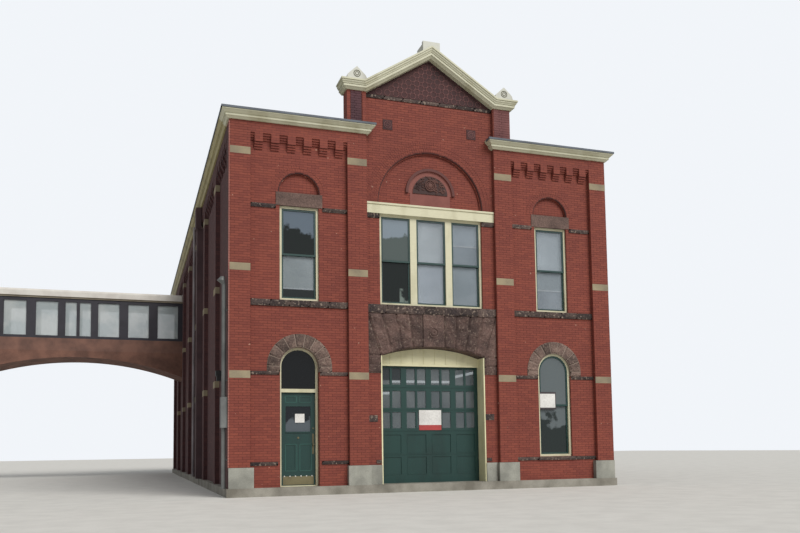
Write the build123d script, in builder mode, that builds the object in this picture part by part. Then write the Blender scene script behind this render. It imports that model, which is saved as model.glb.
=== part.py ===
from build123d import *
import math
import os

# A two-storey brick fire station with a gabled front, an apparatus door, and a glazed footbridge
# on its left side. Millimetres, X along the front, Y into the depth, Z up from the lowest ground.

# Plan
half_width = 5570
depth = 25740
pilaster = 540
centre_pier_inner = 1900
recess = 120
wall = 440
side_bays = 7
side_first = 3300
parapet_depth = 370

# Levels, each added to the one before
foundation_height = 220
foundation_proud = 50
arch_foot_rise = 2970
arch_stilt = 130
sill_rise = 1865
window_height = 2510
head_to_cornice = 2135
gable_pier_rise = 1200
gable_rise = 1205

# Floors
slab = 200
upper_floor_drop = 455
roof_slab = 220
roof_upstand = 120

# Openings in the front
door_opening = 1030
arch_window = 1050
arch_window_sill = 660
ring_width = 340
ring_depth = 150
garage_opening = 3050
garage_spring = 3450
garage_rise = 270
side_window = 1040
triple_window = 3040

# Stone trim
band_height = 190
band_levels = (2775, 5536, 8586)
band_proud = 8
base_height = 514
base_proud = 35
base_overlap = 90
string_height = 90
string_proud = 25
low_course_rise = 555
low_course_gap = 60
foot_course_gap = 20
head_course = (95, 15)
window_course = 130
jamb_blocks = ((-1, 1636, 1870, 1665), (1, 1528, 1784, 1700))
jamb_block_height = 170
jamb_block_proud = 15
jamb_course = (1540, 1680)
lintel_height = 355
lintel_overlap = 101
stone_proud = 20
sill_course = 235
side_sill_course = 165
sill_proud = 45
name_lintel_height = 300
name_lintel_proud = 45
name_cap = (50, 25)
joint = 10
joint_depth = 12
voussoir_angle = 23.6
voussoirs = 9
lintel_feet = (310, 614, 917, 1220, 1525)
lintel_heads = (310, 700, 1100, 1500, 1900)
keystone_proud = 25
granite_set = (40, 60)

# Round arches are set out on this many equal sides to the full circle, and pipes on fewer
arch_sides = 56
pipe_sides = 12

# Blind arches and the lunette
blind_radius = 567
blind_step = 45
relief_radius = 1570
relief_step = 60
first_recess = 45
second_recess = 90
lunette_radius = 732
lunette_ring = 75
lunette_panel_radius = 520
lunette_rise = 385
lunette_depths = (60, 32, 12)

# Corbel table under the frieze
frieze_height = 290
tooth_height = 230
tooth_pitch = 430
corbel_steps = 4
side_corbel_steps = 1

# Cornices, the outline of each moulding as its projection and height from its lower back edge
cornice_moulding = (
    (0, 0), (45, 0), (95, 55), (110, 55), (110, 115), (130, 115), (195, 185),
    (205, 185), (205, 230), (220, 230), (220, 260), (0, 260),
)
rake_moulding = (
    (0, 0), (40, 0), (100, 60), (115, 60), (115, 125), (135, 125), (135, 140),
    (165, 175), (165, 215), (190, 215), (190, 260), (0, 260),
)
mitre_room = 300
rake_backs = ((0, 140, 430), (140, 215, 560), (215, 260, 700))
acroterion_x = 2195
acroterion_half = 280
acroterion_head = ((250, 110), (130, 225), (0, 345), (-130, 225), (-250, 110))
acroterion_y = (-175, 85)
apex_half = (253, 240)
apex_tops = (137, 90)
apex_y = (-120, -20, 400)

# Terracotta
plaque_size = 280
plaque_x = 1255
plaque_rise = 250
plaque_proud = 15
tympanum_foot = 15
tympanum_recess = 30
tympanum_proud = 5
tympanum_string = 95
inset_panel = 330
inset_depth = 25
inset_margin = 70

# Joinery
frame_set_back = 60
frame_depth = 110
frame_width = 62
sash_width = 48
sash_depth = 45
glass = 6
mullion = 190
centre_light = 860
meeting_rise = 1230
arch_meeting_rise = 2130
sash_set_in = 15
pane_set_in = 20
rear_window_rises = (1100, 3000)
rear_bar = 60
door_thickness = 45
door_gap = 8
door_height = 2400
transom_height = 92
door_set_back = 180
fan_set_in = 40
leaf_glass = (115, 1385, 2045)
leaf_panels = ((2180, 2440), (450, 1045))
leaf_panel = (100, 330)
leaf_panel_depth = 10
glass_ledge = (30, 20)
kick_plate = (40, 12, 230, 3)
push_plate = (25, 75, 800, 1330, 6)
knob = (50, 1050, 26, 55)
lock = (50, 1470, 20, 12)
knocker = (1225, 28, 14)
threshold = 25
hinge_radius = 9
hinge_height = 50
hinge_leaf = 36
hinge_rises = (250, 1200, 2150)
hinge_gap = 0.3
hinge_plate = 4
jamb_lining = 35
board_thickness = 30
board_set_in = 60
board_rise = 3210
boards = 9
board_rail = (60, 15)
board_gap = 14
garage_thickness = 50
garage_gap = 10
garage_lap = 60
garage_top_rise = 3230
garage_column = 735
garage_columns = 4
garage_light = 257
garage_bar = 60
garage_lights = ((1498, 1945), (2057, 2533), (2702, 3152))
garage_panels = ((225, 722), (805, 1333))
garage_panel_depth = 12
garage_joints = (765, 1415, 2000, 2620)

# Footbridge
bridge_bays = 7
bridge_pitch = 1324
bridge_end = 101
bridge_bay = 5
bridge_gap = 10
bridge_width = 2400
bridge_wall = 120
bridge_spring = 4650
bridge_crown = 5550
bridge_floor_over_crown = 290
bridge_sill = 6525
bridge_head = 8100
bridge_roof_foot = 8250
bridge_fascia = (70, 320)
bridge_eaves = 90
bridge_trim = 40
bridge_fascia_radius = 110
bridge_post = 400
bridge_middle_bar = 131
bridge_middle_light = 482
bridge_doorway = (1200, 2080)

# Side fittings
pipe = 90
pipe_stand_off = 12
pipe_set_in = 80
trunk_set_in = 610
trunk = (300, 160)
trunk_rise = 8730
trunk_head = (400, 210, 20)
mast = 110
mast_stand_off = 45
mast_y = 200
mast_rise = 5180
mast_clips = (700, 2700, 4500)
mast_clip = 40
mast_hood = (105, 70, 100)
meter = (300, 175, 770)
meter_rise = 1523
lamp = (200, 160, 140)
lamp_lens = (140, 110, 130)
lamp_y = 1100
lamp_rise = 2920
lamp_stand_off = 40
lamp_arm = 40

# Worked out from the sizes above
floor_z = foundation_height
foot_z = floor_z + arch_foot_rise
spring_z = foot_z + arch_stilt
sill_z = foot_z + sill_rise
head_z = sill_z + window_height
cornice_z = head_z + head_to_cornice
cornice_height = cornice_moulding[-1][1]
rake_height = rake_moulding[-1][1]
pier_z = cornice_z + gable_pier_rise
inner = recess + wall
outer_pier = centre_pier_inner + pilaster
corner_pier = half_width - pilaster
bay_centre = (outer_pier + corner_pier) / 2
garage_z = floor_z + garage_spring
upper_floor_z = sill_z - upper_floor_drop
roof_z = cornice_z + cornice_height - roof_upstand
back_wall = depth - inner
side_pitch = (depth - pilaster - side_first) / (side_bays - 1)
side_strips = [side_first + side_pitch * bay for bay in range(side_bays - 1)]

os.makedirs("parts", exist_ok=True)


def front_plane(y):
    """A sketch plane that faces the street at depth y, with X across and Z up."""
    return Plane.XZ.offset(-y)


def write(built, name):
    """Labels a finished piece and writes it."""
    built.part.label = name
    export_step(built.part, "parts/" + name + ".step")


def block(x, y, z, mode=Mode.ADD):
    """A block between two values on each axis, in the part that is being built."""
    with Locations(((x[0] + x[1]) / 2, (y[0] + y[1]) / 2, (z[0] + z[1]) / 2)):
        Box(abs(x[1] - x[0]), y[1] - y[0], z[1] - z[0], mode=mode)


def prism(points, y, mode=Mode.ADD):
    """An outline in X and Z carried from the nearer y to the farther one."""
    with BuildSketch(front_plane(y[0])) as outline:
        Polygon(*points, align=None)
    extrude(outline.sketch, amount=y[0] - y[1], mode=mode)


def disc(x, z, radius, y, mode=Mode.ADD, sides=arch_sides):
    """A round slab that faces the street, for arches and rings."""
    with BuildSketch(front_plane(y[0])) as outline:
        with Locations((x, z)):
            RegularPolygon(radius, sides)
    extrude(outline.sketch, amount=y[0] - y[1], mode=mode)


def half_disc(x, z, radius, y, mode=Mode.ADD):
    """The upper half of a round slab, standing on its springing line."""
    with BuildSketch(front_plane(y[0])) as outline:
        with Locations((x, z)):
            RegularPolygon(radius, arch_sides)
        with Locations((x, z - radius)):
            Rectangle(4 * radius, 2 * radius, mode=Mode.SUBTRACT)
    extrude(outline.sketch, amount=y[0] - y[1], mode=mode)


def segment(x, z, half, rise, y, foot, mode=Mode.ADD):
    """A slab with a segmental top that springs at z, and a square foot."""
    with BuildSketch(front_plane(y[0])) as outline:
        with BuildLine():
            ThreePointArc((x - half, z), (x, z + rise), (x + half, z))
            Polyline((x + half, z), (x + half, foot), (x - half, foot), (x - half, z))
        make_face()
    extrude(outline.sketch, amount=y[0] - y[1], mode=mode)


def mirrored(side, near, far):
    """Two distances from the centre line, as X values on the left or the right."""
    return sorted((side * near, side * far))


def moulding(outline, points):
    """Runs a moulding's outline along a line of points, mitred where two straight runs meet.

    It projects to the right of the way it runs, so on this building a line goes from left to right.
    """
    corners = [Vector(*point) for point in points]
    ways = [(end - start).normalized() for start, end in zip(corners, corners[1:])]
    cuts = [ways[0]] + [before + after for before, after in zip(ways, ways[1:])] + [ways[-1]]
    for place, way in enumerate(ways):
        start, end = corners[place], corners[place + 1]
        with BuildPart(mode=Mode.PRIVATE) as run:
            across = way.cross(Vector(0, 0, 1))
            with BuildSketch(Plane(origin=start - way * mitre_room, x_dir=across, z_dir=-way)):
                Polygon(*outline, align=None)
            extrude(amount=-(end - start).length - 2 * mitre_room)
            split(bisect_by=Plane(origin=start, z_dir=cuts[place]), keep=Keep.TOP)
            split(bisect_by=Plane(origin=end, z_dir=cuts[place + 1]), keep=Keep.BOTTOM)
        add(run.part)


def corbel_bay(start, end, layer, steps):
    """The outline of one bay of frieze, whose lower edge is a row of corbels.

    Every other corbel hangs lower, and each layer deeper in the wall comes down one course more.
    """
    teeth = max(1, round((end - start) / tooth_pitch))
    pitch = (end - start) / teeth
    high = cornice_z - frieze_height - layer * tooth_height / steps
    low = high - tooth_height
    points = [(end, cornice_z), (start, cornice_z), (start, high)]
    for tooth in range(teeth):
        left = start + pitch * (tooth + 0.25)
        right = left + pitch / 2
        points += [(left, high), (left, low), (right, low), (right, high)]
    return points + [(end, high)]


def corbel_layers(steps):
    """The near and far depth of each course layer of the corbels, from the front."""
    step = recess / steps
    return [(layer, layer * step, (layer + 1) * step) for layer in range(steps)]


# Foundation, a concrete ring a little wider than the base stones, down to the lowest ground.
footing = half_width + foundation_proud
with BuildPart() as foundation:
    block((-footing, footing), (-foundation_proud, depth + foundation_proud), (0, floor_z))
    block((inner - half_width, half_width - inner), (inner, depth - inner), (0, floor_z), Mode.SUBTRACT)
write(foundation, "foundation")

# Floors and roof, plain slabs between the walls.
room_x = (inner - half_width, half_width - inner)
room_y = (inner, back_wall)
with BuildPart() as ground_floor:
    block(room_x, room_y, (floor_z - slab, floor_z))
write(ground_floor, "ground_floor")

with BuildPart() as upper_floor:
    block(room_x, room_y, (upper_floor_z - slab, upper_floor_z))
write(upper_floor, "upper_floor")

with BuildPart() as roof_deck:
    block(room_x, room_y, (roof_z - roof_slab, roof_z))
write(roof_deck, "roof_deck")

# Lower front wall, four piers between the three openings, each with its pilaster.
lower_z = (floor_z, foot_z)
pilaster_z = (floor_z + base_height, foot_z)
door_edge = (bay_centre - door_opening / 2, bay_centre + door_opening / 2)
arch_edge = (bay_centre - arch_window / 2, bay_centre + arch_window / 2)
lower_piers = (
    (-1, door_edge[1], half_width, corner_pier),
    (-1, garage_opening / 2, door_edge[0], centre_pier_inner),
    (1, garage_opening / 2, arch_edge[0], centre_pier_inner),
    (1, arch_edge[1], half_width, corner_pier),
)
with BuildPart() as lower_front:
    for side, near, far, strip in lower_piers:
        block(mirrored(side, near, far), (recess, inner), lower_z)
        block(mirrored(side, strip, strip + pilaster), (0, recess), pilaster_z)
write(lower_front, "front_piers_lower")

with BuildPart() as front_apron:
    block(arch_edge, (recess, inner), (floor_z, floor_z + arch_window_sill))
write(front_apron, "front_window_apron")

# Spandrels over the door and the arched window, up to the upper sills.
with BuildPart() as spandrels:
    for side, opening in ((-1, door_opening), (1, arch_window)):
        centre = side * bay_centre
        block(mirrored(side, centre_pier_inner, half_width), (recess, inner), (foot_z, sill_z))
        for strip in (centre_pier_inner, corner_pier):
            block(mirrored(side, strip, strip + pilaster), (0, recess), (foot_z, sill_z))
        ring_cut = (opening / 2 + ring_width, (recess, recess + ring_depth))
        for radius, y in ((opening / 2, (recess, inner)), ring_cut):
            disc(centre, spring_z, radius, y, Mode.SUBTRACT)
            block((centre - radius, centre + radius), y, (foot_z, spring_z), Mode.SUBTRACT)
write(spandrels, "front_spandrels")

# Rings of voussoirs round the two arches, with a joint cut between each pair of stones.
with BuildPart() as arch_rings:
    for centre, opening in ((-bay_centre, door_opening), (bay_centre, arch_window)):
        outer = opening / 2 + ring_width
        ring_y = (recess - stone_proud, recess + ring_depth)
        half_disc(centre, spring_z, outer, ring_y)
        block((centre - outer, centre + outer), ring_y, (foot_z, spring_z))
        disc(centre, spring_z, opening / 2, ring_y, Mode.SUBTRACT)
        block((centre - opening / 2, centre + opening / 2), ring_y, (foot_z, spring_z), Mode.SUBTRACT)
        for stone in range(voussoirs - 1):
            angle = 90 + voussoir_angle * (stone + 1 - voussoirs / 2)
            face = Location((centre, ring_y[0], spring_z), (0, -angle, 0))
            with Locations(face * Location(((opening / 2 + outer) / 2, joint_depth / 2, 0))):
                Box(2 * ring_width, joint_depth, joint, mode=Mode.SUBTRACT)
write(arch_rings, "arch_rings")

# The tall flat lintel of long radiating stones over the apparatus door.
with BuildPart() as garage_lintel:
    lintel_y = (recess - stone_proud, inner)
    block((-centre_pier_inner, centre_pier_inner), lintel_y, (foot_z, sill_z - sill_course))
    key_y = (lintel_y[0] - keystone_proud, lintel_y[0])
    key = lintel_feet[0] - joint / 2
    block((-key, key), key_y, (garage_z, sill_z - sill_course))
    segment(0, garage_z, garage_opening / 2, garage_rise, (key_y[0], inner), foot_z, Mode.SUBTRACT)
    for side in (-1, 1):
        for foot, head in zip(lintel_feet, lintel_heads):
            prism(
                (
                    (side * foot - joint / 2, garage_z),
                    (side * foot + joint / 2, garage_z),
                    (side * head + joint / 2, sill_z - sill_course),
                    (side * head - joint / 2, sill_z - sill_course),
                ),
                (lintel_y[0], lintel_y[0] + joint_depth),
                Mode.SUBTRACT,
            )
write(garage_lintel, "garage_lintel")

# Upper front wall, four piers between the windows.
window_edge = (bay_centre - side_window / 2, bay_centre + side_window / 2)
upper_piers = (
    (-1, window_edge[1], half_width, corner_pier),
    (-1, triple_window / 2, window_edge[0], centre_pier_inner),
    (1, triple_window / 2, window_edge[0], centre_pier_inner),
    (1, window_edge[1], half_width, corner_pier),
)
with BuildPart() as upper_front:
    for side, near, far, strip in upper_piers:
        block(mirrored(side, near, far), (recess, inner), (sill_z, head_z))
        block(mirrored(side, strip, strip + pilaster), (0, recess), (sill_z, head_z))
write(upper_front, "front_piers_upper")

# Top of the side bays, with the blind arch and the corbelled frieze.
lintel_edge = (window_edge[0] - lintel_overlap, window_edge[1] + lintel_overlap)
lintel_top = head_z + lintel_height
with BuildPart() as front_top:
    for side in (-1, 1):
        centre = side * bay_centre
        block(mirrored(side, centre_pier_inner, half_width), (recess, inner), (head_z, cornice_z))
        for strip in (centre_pier_inner, corner_pier):
            block(mirrored(side, strip, strip + pilaster), (0, recess), (head_z, cornice_z))
        block(mirrored(side, *lintel_edge), (recess, inner), (head_z, lintel_top), Mode.SUBTRACT)
        for radius, cut in ((blind_radius, first_recess), (blind_radius - blind_step, second_recess)):
            half_disc(centre, lintel_top, radius, (recess, recess + cut), Mode.SUBTRACT)
        bay = mirrored(side, outer_pier, corner_pier)
        for layer, near, far in corbel_layers(corbel_steps):
            prism(corbel_bay(bay[0], bay[1], layer, corbel_steps), (near, far))
write(front_top, "front_wall_tops")

# Brownstone blocks that go right through the wall, two lintels and the long centre sill.
with BuildPart() as through_stones:
    for side in (-1, 1):
        block(mirrored(side, *lintel_edge), (recess - stone_proud, inner), (head_z, lintel_top))
    sill_y = (recess - sill_proud, inner)
    block((-centre_pier_inner, centre_pier_inner), sill_y, (sill_z - sill_course, sill_z))
write(through_stones, "lintel_and_sill_blocks")

# Gable wall between the centre piers, with the relieving arch and the tympanum recess.
name_z = head_z + name_lintel_height
apex_z = pier_z + gable_rise
slope = gable_rise / centre_pier_inner
tympanum_z = pier_z + tympanum_foot
with BuildPart() as gable_wall:
    prism(
        (
            (-centre_pier_inner, cornice_z),
            (centre_pier_inner, cornice_z),
            (outer_pier, cornice_z),
            (outer_pier, pier_z),
            (centre_pier_inner, pier_z),
            (0, apex_z),
            (-centre_pier_inner, pier_z),
            (-outer_pier, pier_z),
            (-outer_pier, cornice_z),
        ),
        (recess, parapet_depth),
    )
    block((-centre_pier_inner, centre_pier_inner), (recess, inner), (name_z, cornice_z))
    block((-outer_pier, outer_pier), (recess, inner), (cornice_z, cornice_z + cornice_height))
    for side in (-1, 1):
        pier_x = mirrored(side, centre_pier_inner, outer_pier)
        block(pier_x, (0, recess), (cornice_z, pier_z))
        middle = side * (centre_pier_inner + pilaster / 2)
        panel_x = (middle - inset_panel / 2, middle + inset_panel / 2)
        panel_z = (cornice_z + cornice_height + inset_margin, pier_z - inset_margin)
        block(panel_x, (0, inset_depth), panel_z, Mode.SUBTRACT)
    for radius, cut in ((relief_radius, first_recess), (relief_radius - relief_step, second_recess)):
        half_disc(0, name_z, radius, (recess, recess + cut), Mode.SUBTRACT)
    half_base = (apex_z - tympanum_z) / slope
    prism(
        ((-half_base, tympanum_z), (half_base, tympanum_z), (0, apex_z)),
        (recess, recess + tympanum_recess),
        Mode.SUBTRACT,
    )
write(gable_wall, "gable_wall")

with BuildPart() as tympanum:
    prism(
        ((-half_base, tympanum_z), (half_base, tympanum_z), (0, apex_z)),
        (recess - tympanum_proud, recess + tympanum_recess),
    )
write(tympanum, "tympanum_panel")

# Lunette over the name stone, a raised label ring round a carved half-round panel.
lunette_z = name_z + lunette_rise
panel_y = recess + second_recess
label_y, carving_y, ground_y = (panel_y - proud for proud in lunette_depths)
with BuildPart() as lunette:
    half_disc(0, lunette_z, lunette_radius, (label_y, panel_y))
    half_disc(0, lunette_z, lunette_radius - lunette_ring, (label_y, panel_y), Mode.SUBTRACT)
    half_disc(0, lunette_z, lunette_radius - lunette_ring, (ground_y, panel_y))
    half_disc(0, lunette_z, lunette_panel_radius, (carving_y, ground_y))
write(lunette, "lunette")

with BuildPart() as plaques:
    for side in (-1, 1):
        x = (side * plaque_x - plaque_size / 2, side * plaque_x + plaque_size / 2)
        z = (cornice_z + plaque_rise, cornice_z + plaque_rise + plaque_size)
        block(x, (recess - plaque_proud, recess), z)
write(plaques, "terracotta_plaques")

with BuildPart() as name_lintel:
    cap_z = name_z - name_cap[0]
    cap_y = recess - name_lintel_proud - name_cap[1]
    block((-centre_pier_inner, centre_pier_inner), (recess - name_lintel_proud, inner), (head_z, cap_z))
    block((-centre_pier_inner, centre_pier_inner), (cap_y, inner), (cap_z, name_z))
write(name_lintel, "name_lintel")


def side_wall(side):
    """A long side wall with its pilasters and corbelled frieze, between front and rear walls."""
    block(mirrored(side, half_width - inner, half_width - recess), (inner, back_wall), (floor_z, cornice_z))
    with BuildSketch(Plane.YZ.offset(side * (half_width - recess))) as strips:
        for start in side_strips:
            with Locations((start + pilaster / 2, (floor_z + cornice_z) / 2)):
                Rectangle(pilaster, cornice_z - floor_z)
    extrude(strips.sketch, amount=side * recess)
    bays = list(zip([inner] + [start + pilaster for start in side_strips], side_strips + [back_wall]))
    for layer, near, far in corbel_layers(side_corbel_steps):
        with BuildSketch(Plane.YZ.offset(side * (half_width - far))) as frieze:
            for low_y, high_y in bays:
                Polygon(*corbel_bay(low_y, high_y, layer, side_corbel_steps), align=None)
        extrude(frieze.sketch, amount=side * (far - near))


bridge_front = side_strips[bridge_bay] - bridge_width - bridge_gap
bridge_middle = bridge_front + bridge_width / 2
bridge_floor_z = bridge_crown + bridge_floor_over_crown
with BuildPart() as side_wall_left:
    side_wall(-1)
    block(
        (-half_width, inner - half_width),
        (bridge_middle - bridge_doorway[0] / 2, bridge_middle + bridge_doorway[0] / 2),
        (bridge_floor_z, bridge_floor_z + bridge_doorway[1]),
        Mode.SUBTRACT,
    )
write(side_wall_left, "side_wall_left")

with BuildPart() as side_wall_right:
    side_wall(1)
write(side_wall_right, "side_wall_right")

# Rear wall, plain, with two storeys of windows in its three bays.
rear_bays = (-bay_centre, 0, bay_centre)
rear_window_z = ((floor_z + rear_window_rises[0], floor_z + rear_window_rises[1]), (sill_z, head_z))
with BuildPart() as rear_wall:
    block((-half_width, half_width), (back_wall, depth - recess), (floor_z, cornice_z))
    for side in (-1, 1):
        for strip in (centre_pier_inner, corner_pier):
            block(mirrored(side, strip, strip + pilaster), (depth - recess, depth), (floor_z, cornice_z))
    block((-half_width, half_width), (depth - recess, depth), (cornice_z - frieze_height, cornice_z))
    for centre in rear_bays:
        for z in rear_window_z:
            x = (centre - side_window / 2, centre + side_window / 2)
            block(x, (back_wall, depth), z, Mode.SUBTRACT)
write(rear_wall, "rear_wall")

# Cornices, a moulding mitred round a plain core, with a thin flashing as its top step.
cornice_z_range = (cornice_z, cornice_z + cornice_height)
with BuildPart() as cornices_front:
    for side in (-1, 1):
        block(mirrored(side, outer_pier, half_width), (0, inner), cornice_z_range)
        run = (
            (side * half_width, inner, cornice_z),
            (side * half_width, 0, cornice_z),
            (side * centre_pier_inner, 0, cornice_z),
            (side * centre_pier_inner, recess, cornice_z),
        )
        moulding(cornice_moulding, run[::-side])
write(cornices_front, "cornices_front")

with BuildPart() as cornices_side:
    for side in (-1, 1):
        block(mirrored(side, half_width - inner, half_width), (inner, back_wall), cornice_z_range)
        run = ((side * half_width, back_wall, cornice_z), (side * half_width, inner, cornice_z))
        moulding(cornice_moulding, run[::-side])
write(cornices_side, "cornices_side")

with BuildPart() as cornice_rear:
    block((-half_width, half_width), (back_wall, depth), cornice_z_range)
    run = (
        (half_width, back_wall, cornice_z),
        (half_width, depth, cornice_z),
        (-half_width, depth, cornice_z),
        (-half_width, back_wall, cornice_z),
    )
    moulding(cornice_moulding, run)
write(cornice_rear, "cornice_rear")

# Raking cornice, level over the piers and sloping to the apex, returned round the gable's sides.
rise_factor = math.sqrt(1 + slope * slope)
apex_top = apex_z + rake_height * rise_factor


def rake_line(height):
    """The corners of a line that runs over the gable at this height above the moulding's foot."""
    kink = centre_pier_inner + height * (rise_factor - 1) / slope
    level = pier_z + height
    peak = (0, apex_z + height * rise_factor)
    return [(-outer_pier, level), (-kink, level), peak, (kink, level), (outer_pier, level)]


with BuildPart() as raking_cornice:
    for low, high, back in rake_backs:
        prism(rake_line(low) + rake_line(high)[::-1], (0, back))
    run = (
        (-outer_pier, rake_backs[0][2], pier_z),
        (-outer_pier, 0, pier_z),
        (-centre_pier_inner, 0, pier_z),
        (0, 0, apex_z),
        (centre_pier_inner, 0, pier_z),
        (outer_pier, 0, pier_z),
        (outer_pier, rake_backs[0][2], pier_z),
    )
    moulding(rake_moulding, run)
write(raking_cornice, "raking_cornice")

# Upright ornaments on the gable, one over each pier and a plain block astride the apex.
rake_kink, rake_level = rake_line(rake_height)[3]
near = acroterion_x - acroterion_half
near_foot = rake_level + (rake_kink - near) * slope
with BuildPart() as acroteria:
    for side in (-1, 1):
        outline = [(side * near, near_foot), (side * rake_kink, rake_level)]
        outline.append((side * (acroterion_x + acroterion_half), rake_level))
        outline += [(side * (acroterion_x + x), rake_level + z) for x, z in acroterion_head]
        prism(outline, acroterion_y)
    for half, top, y in zip(apex_half, apex_tops, (apex_y[:2], apex_y[1:])):
        foot = apex_top - half * slope
        head = apex_top + top
        prism(((-half, foot), (0, apex_top), (half, foot), (half, head), (-half, head)), y)
write(acroteria, "acroteria")

# Band stones let on to the pilasters, three on each.
with BuildPart() as band_stones:
    for rise in band_levels:
        z = (floor_z + rise, floor_z + rise + band_height)
        for side in (-1, 1):
            for strip in (centre_pier_inner, corner_pier):
                block(mirrored(side, strip, strip + pilaster), (-band_proud, 0), z)
            for start in side_strips:
                face_x = mirrored(side, half_width, half_width + band_proud)
                block(face_x, (start, start + pilaster), z)
                return_x = mirrored(side, half_width - recess, half_width + band_proud)
                block(return_x, (start - band_proud, start), z)
write(band_stones, "band_stones")

# Granite base stones under the front pilasters and beside the apparatus door.
with BuildPart() as base_stones:
    z = (floor_z, floor_z + base_height)
    for side in (-1, 1):
        block(mirrored(side, corner_pier - base_overlap, half_width), (-base_proud, recess), z)
        centre_x = mirrored(side, centre_pier_inner - granite_set[0], outer_pier + base_proud)
        block(centre_x, (-base_proud, recess), z)
        jamb = mirrored(side, garage_opening / 2, centre_pier_inner - granite_set[1])
        block(jamb, (recess - base_proud, recess), z)
write(base_stones, "base_stones")

# Thin stone courses along the bays, set on the recessed wall face.
course_y = (recess - string_proud, recess)
with BuildPart() as string_courses:
    low = (floor_z + low_course_rise, floor_z + low_course_rise + string_height)
    foot = (foot_z - string_height, foot_z)
    head = (head_z - head_course[0], head_z + head_course[1])
    for side, opening in ((-1, door_opening), (1, arch_window)):
        for near, far, z in (
            (outer_pier, bay_centre - opening / 2 - low_course_gap, low),
            (bay_centre + opening / 2 + low_course_gap, corner_pier, low),
            (outer_pier, bay_centre - opening / 2 - foot_course_gap, foot),
            (bay_centre + opening / 2 + foot_course_gap, corner_pier, foot),
            (outer_pier, lintel_edge[0], head),
            (lintel_edge[1], corner_pier, head),
            (triple_window / 2, centre_pier_inner, (head_z - window_course, head_z)),
            (*jamb_course, low),
        ):
            block(mirrored(side, near, far), course_y, z)
        sill = mirrored(side, outer_pier, corner_pier)
        block(sill, (recess - sill_proud, recess), (sill_z - side_sill_course, sill_z))
    for side, near, far, rise in jamb_blocks:
        z = (floor_z + rise, floor_z + rise + jamb_block_height)
        block(mirrored(side, near, far), (recess - jamb_block_proud, recess), z)
    block((-centre_pier_inner, centre_pier_inner), course_y, (pier_z - tympanum_string, pier_z))
write(string_courses, "string_courses")

# Window frames, painted timber set in the openings of both storeys, front and rear.
frame_y = (recess + frame_set_back, recess + frame_set_back + frame_depth)
rear_frame_y = (depth - frame_y[1], depth - frame_y[0])
side_lights = [(side * bay_centre, side_window) for side in (-1, 1)]
flank = triple_window / 2 - frame_width - centre_light / 2 - mullion
flank_centre = centre_light / 2 + mullion + flank / 2
triple_lights = [(-flank_centre, flank), (0, centre_light), (flank_centre, flank)]
light_z = (sill_z + frame_width, head_z - frame_width)
arch_x = bay_centre
arch_foot = floor_z + arch_window_sill
clear_arch = arch_window / 2 - frame_width
with BuildPart() as window_frames:
    for centre, width in side_lights:
        block((centre - width / 2, centre + width / 2), frame_y, (sill_z, head_z))
        clear = width / 2 - frame_width
        block((centre - clear, centre + clear), frame_y, light_z, Mode.SUBTRACT)
    block((-triple_window / 2, triple_window / 2), frame_y, (sill_z, head_z))
    for centre, width in triple_lights:
        block((centre - width / 2, centre + width / 2), frame_y, light_z, Mode.SUBTRACT)
    half_disc(arch_x, spring_z, arch_window / 2, frame_y)
    block((arch_x - arch_window / 2, arch_x + arch_window / 2), frame_y, (arch_foot, spring_z))
    half_disc(arch_x, spring_z, clear_arch, frame_y, Mode.SUBTRACT)
    arch_clear_x = (arch_x - clear_arch, arch_x + clear_arch)
    block(arch_clear_x, frame_y, (arch_foot + frame_width, spring_z), Mode.SUBTRACT)
write(window_frames, "window_frames")

# Sashes, an upper and a lower one in each light, the lower one behind.
lights = [(centre, width - 2 * frame_width) for centre, width in side_lights] + triple_lights
meeting_z = sill_z + meeting_rise
arch_meeting_z = floor_z + arch_meeting_rise
upper_y = (frame_y[0] + sash_set_in, frame_y[0] + sash_set_in + sash_depth)
lower_y = (upper_y[1], upper_y[1] + sash_depth)
inner_arch = clear_arch - sash_width
arch_span = (arch_x - inner_arch, arch_x + inner_arch)
arch_low_z = (arch_foot + frame_width, arch_meeting_z + sash_width / 2)
with BuildPart() as window_sashes:
    for centre, width in lights:
        clear = width / 2 - sash_width
        for z, y in (
            ((meeting_z - sash_width / 2, light_z[1]), upper_y),
            ((light_z[0], meeting_z + sash_width / 2), lower_y),
        ):
            block((centre - width / 2, centre + width / 2), y, z)
            block((centre - clear, centre + clear), y, (z[0] + sash_width, z[1] - sash_width), Mode.SUBTRACT)
    half_disc(arch_x, spring_z, clear_arch, upper_y)
    block(arch_clear_x, upper_y, (arch_meeting_z - sash_width / 2, spring_z))
    half_disc(arch_x, spring_z, inner_arch, upper_y, Mode.SUBTRACT)
    block(arch_span, upper_y, (arch_meeting_z + sash_width / 2, spring_z), Mode.SUBTRACT)
    block(arch_clear_x, lower_y, arch_low_z)
    block(arch_span, lower_y, (arch_low_z[0] + sash_width, arch_low_z[1] - sash_width), Mode.SUBTRACT)
write(window_sashes, "window_sashes")

rear_lights = []
for z in rear_window_z:
    middle = (z[0] + z[1]) / 2
    lower_light = (z[0] + frame_width, middle - rear_bar / 2)
    upper_light = (middle + rear_bar / 2, z[1] - frame_width)
    clear = side_window / 2 - frame_width
    for centre in rear_bays:
        for light in (lower_light, upper_light):
            rear_lights.append(((centre - clear, centre + clear), light))
with BuildPart() as rear_frames:
    for z in rear_window_z:
        for centre in rear_bays:
            block((centre - side_window / 2, centre + side_window / 2), rear_frame_y, z)
    for x, z in rear_lights:
        block(x, rear_frame_y, z, Mode.SUBTRACT)
write(rear_frames, "rear_window_frames")

# Front door frame, a round-headed timber frame with a transom under the fanlight.
door_x = -bay_centre
door_y = (recess + door_set_back, recess + door_set_back + frame_depth)
leaf_top = floor_z + threshold + door_gap + door_height
hinge_x = door_x - (door_opening / 2 - frame_width) + door_gap / 2
hinge_y = door_y[1] + hinge_radius


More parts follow.
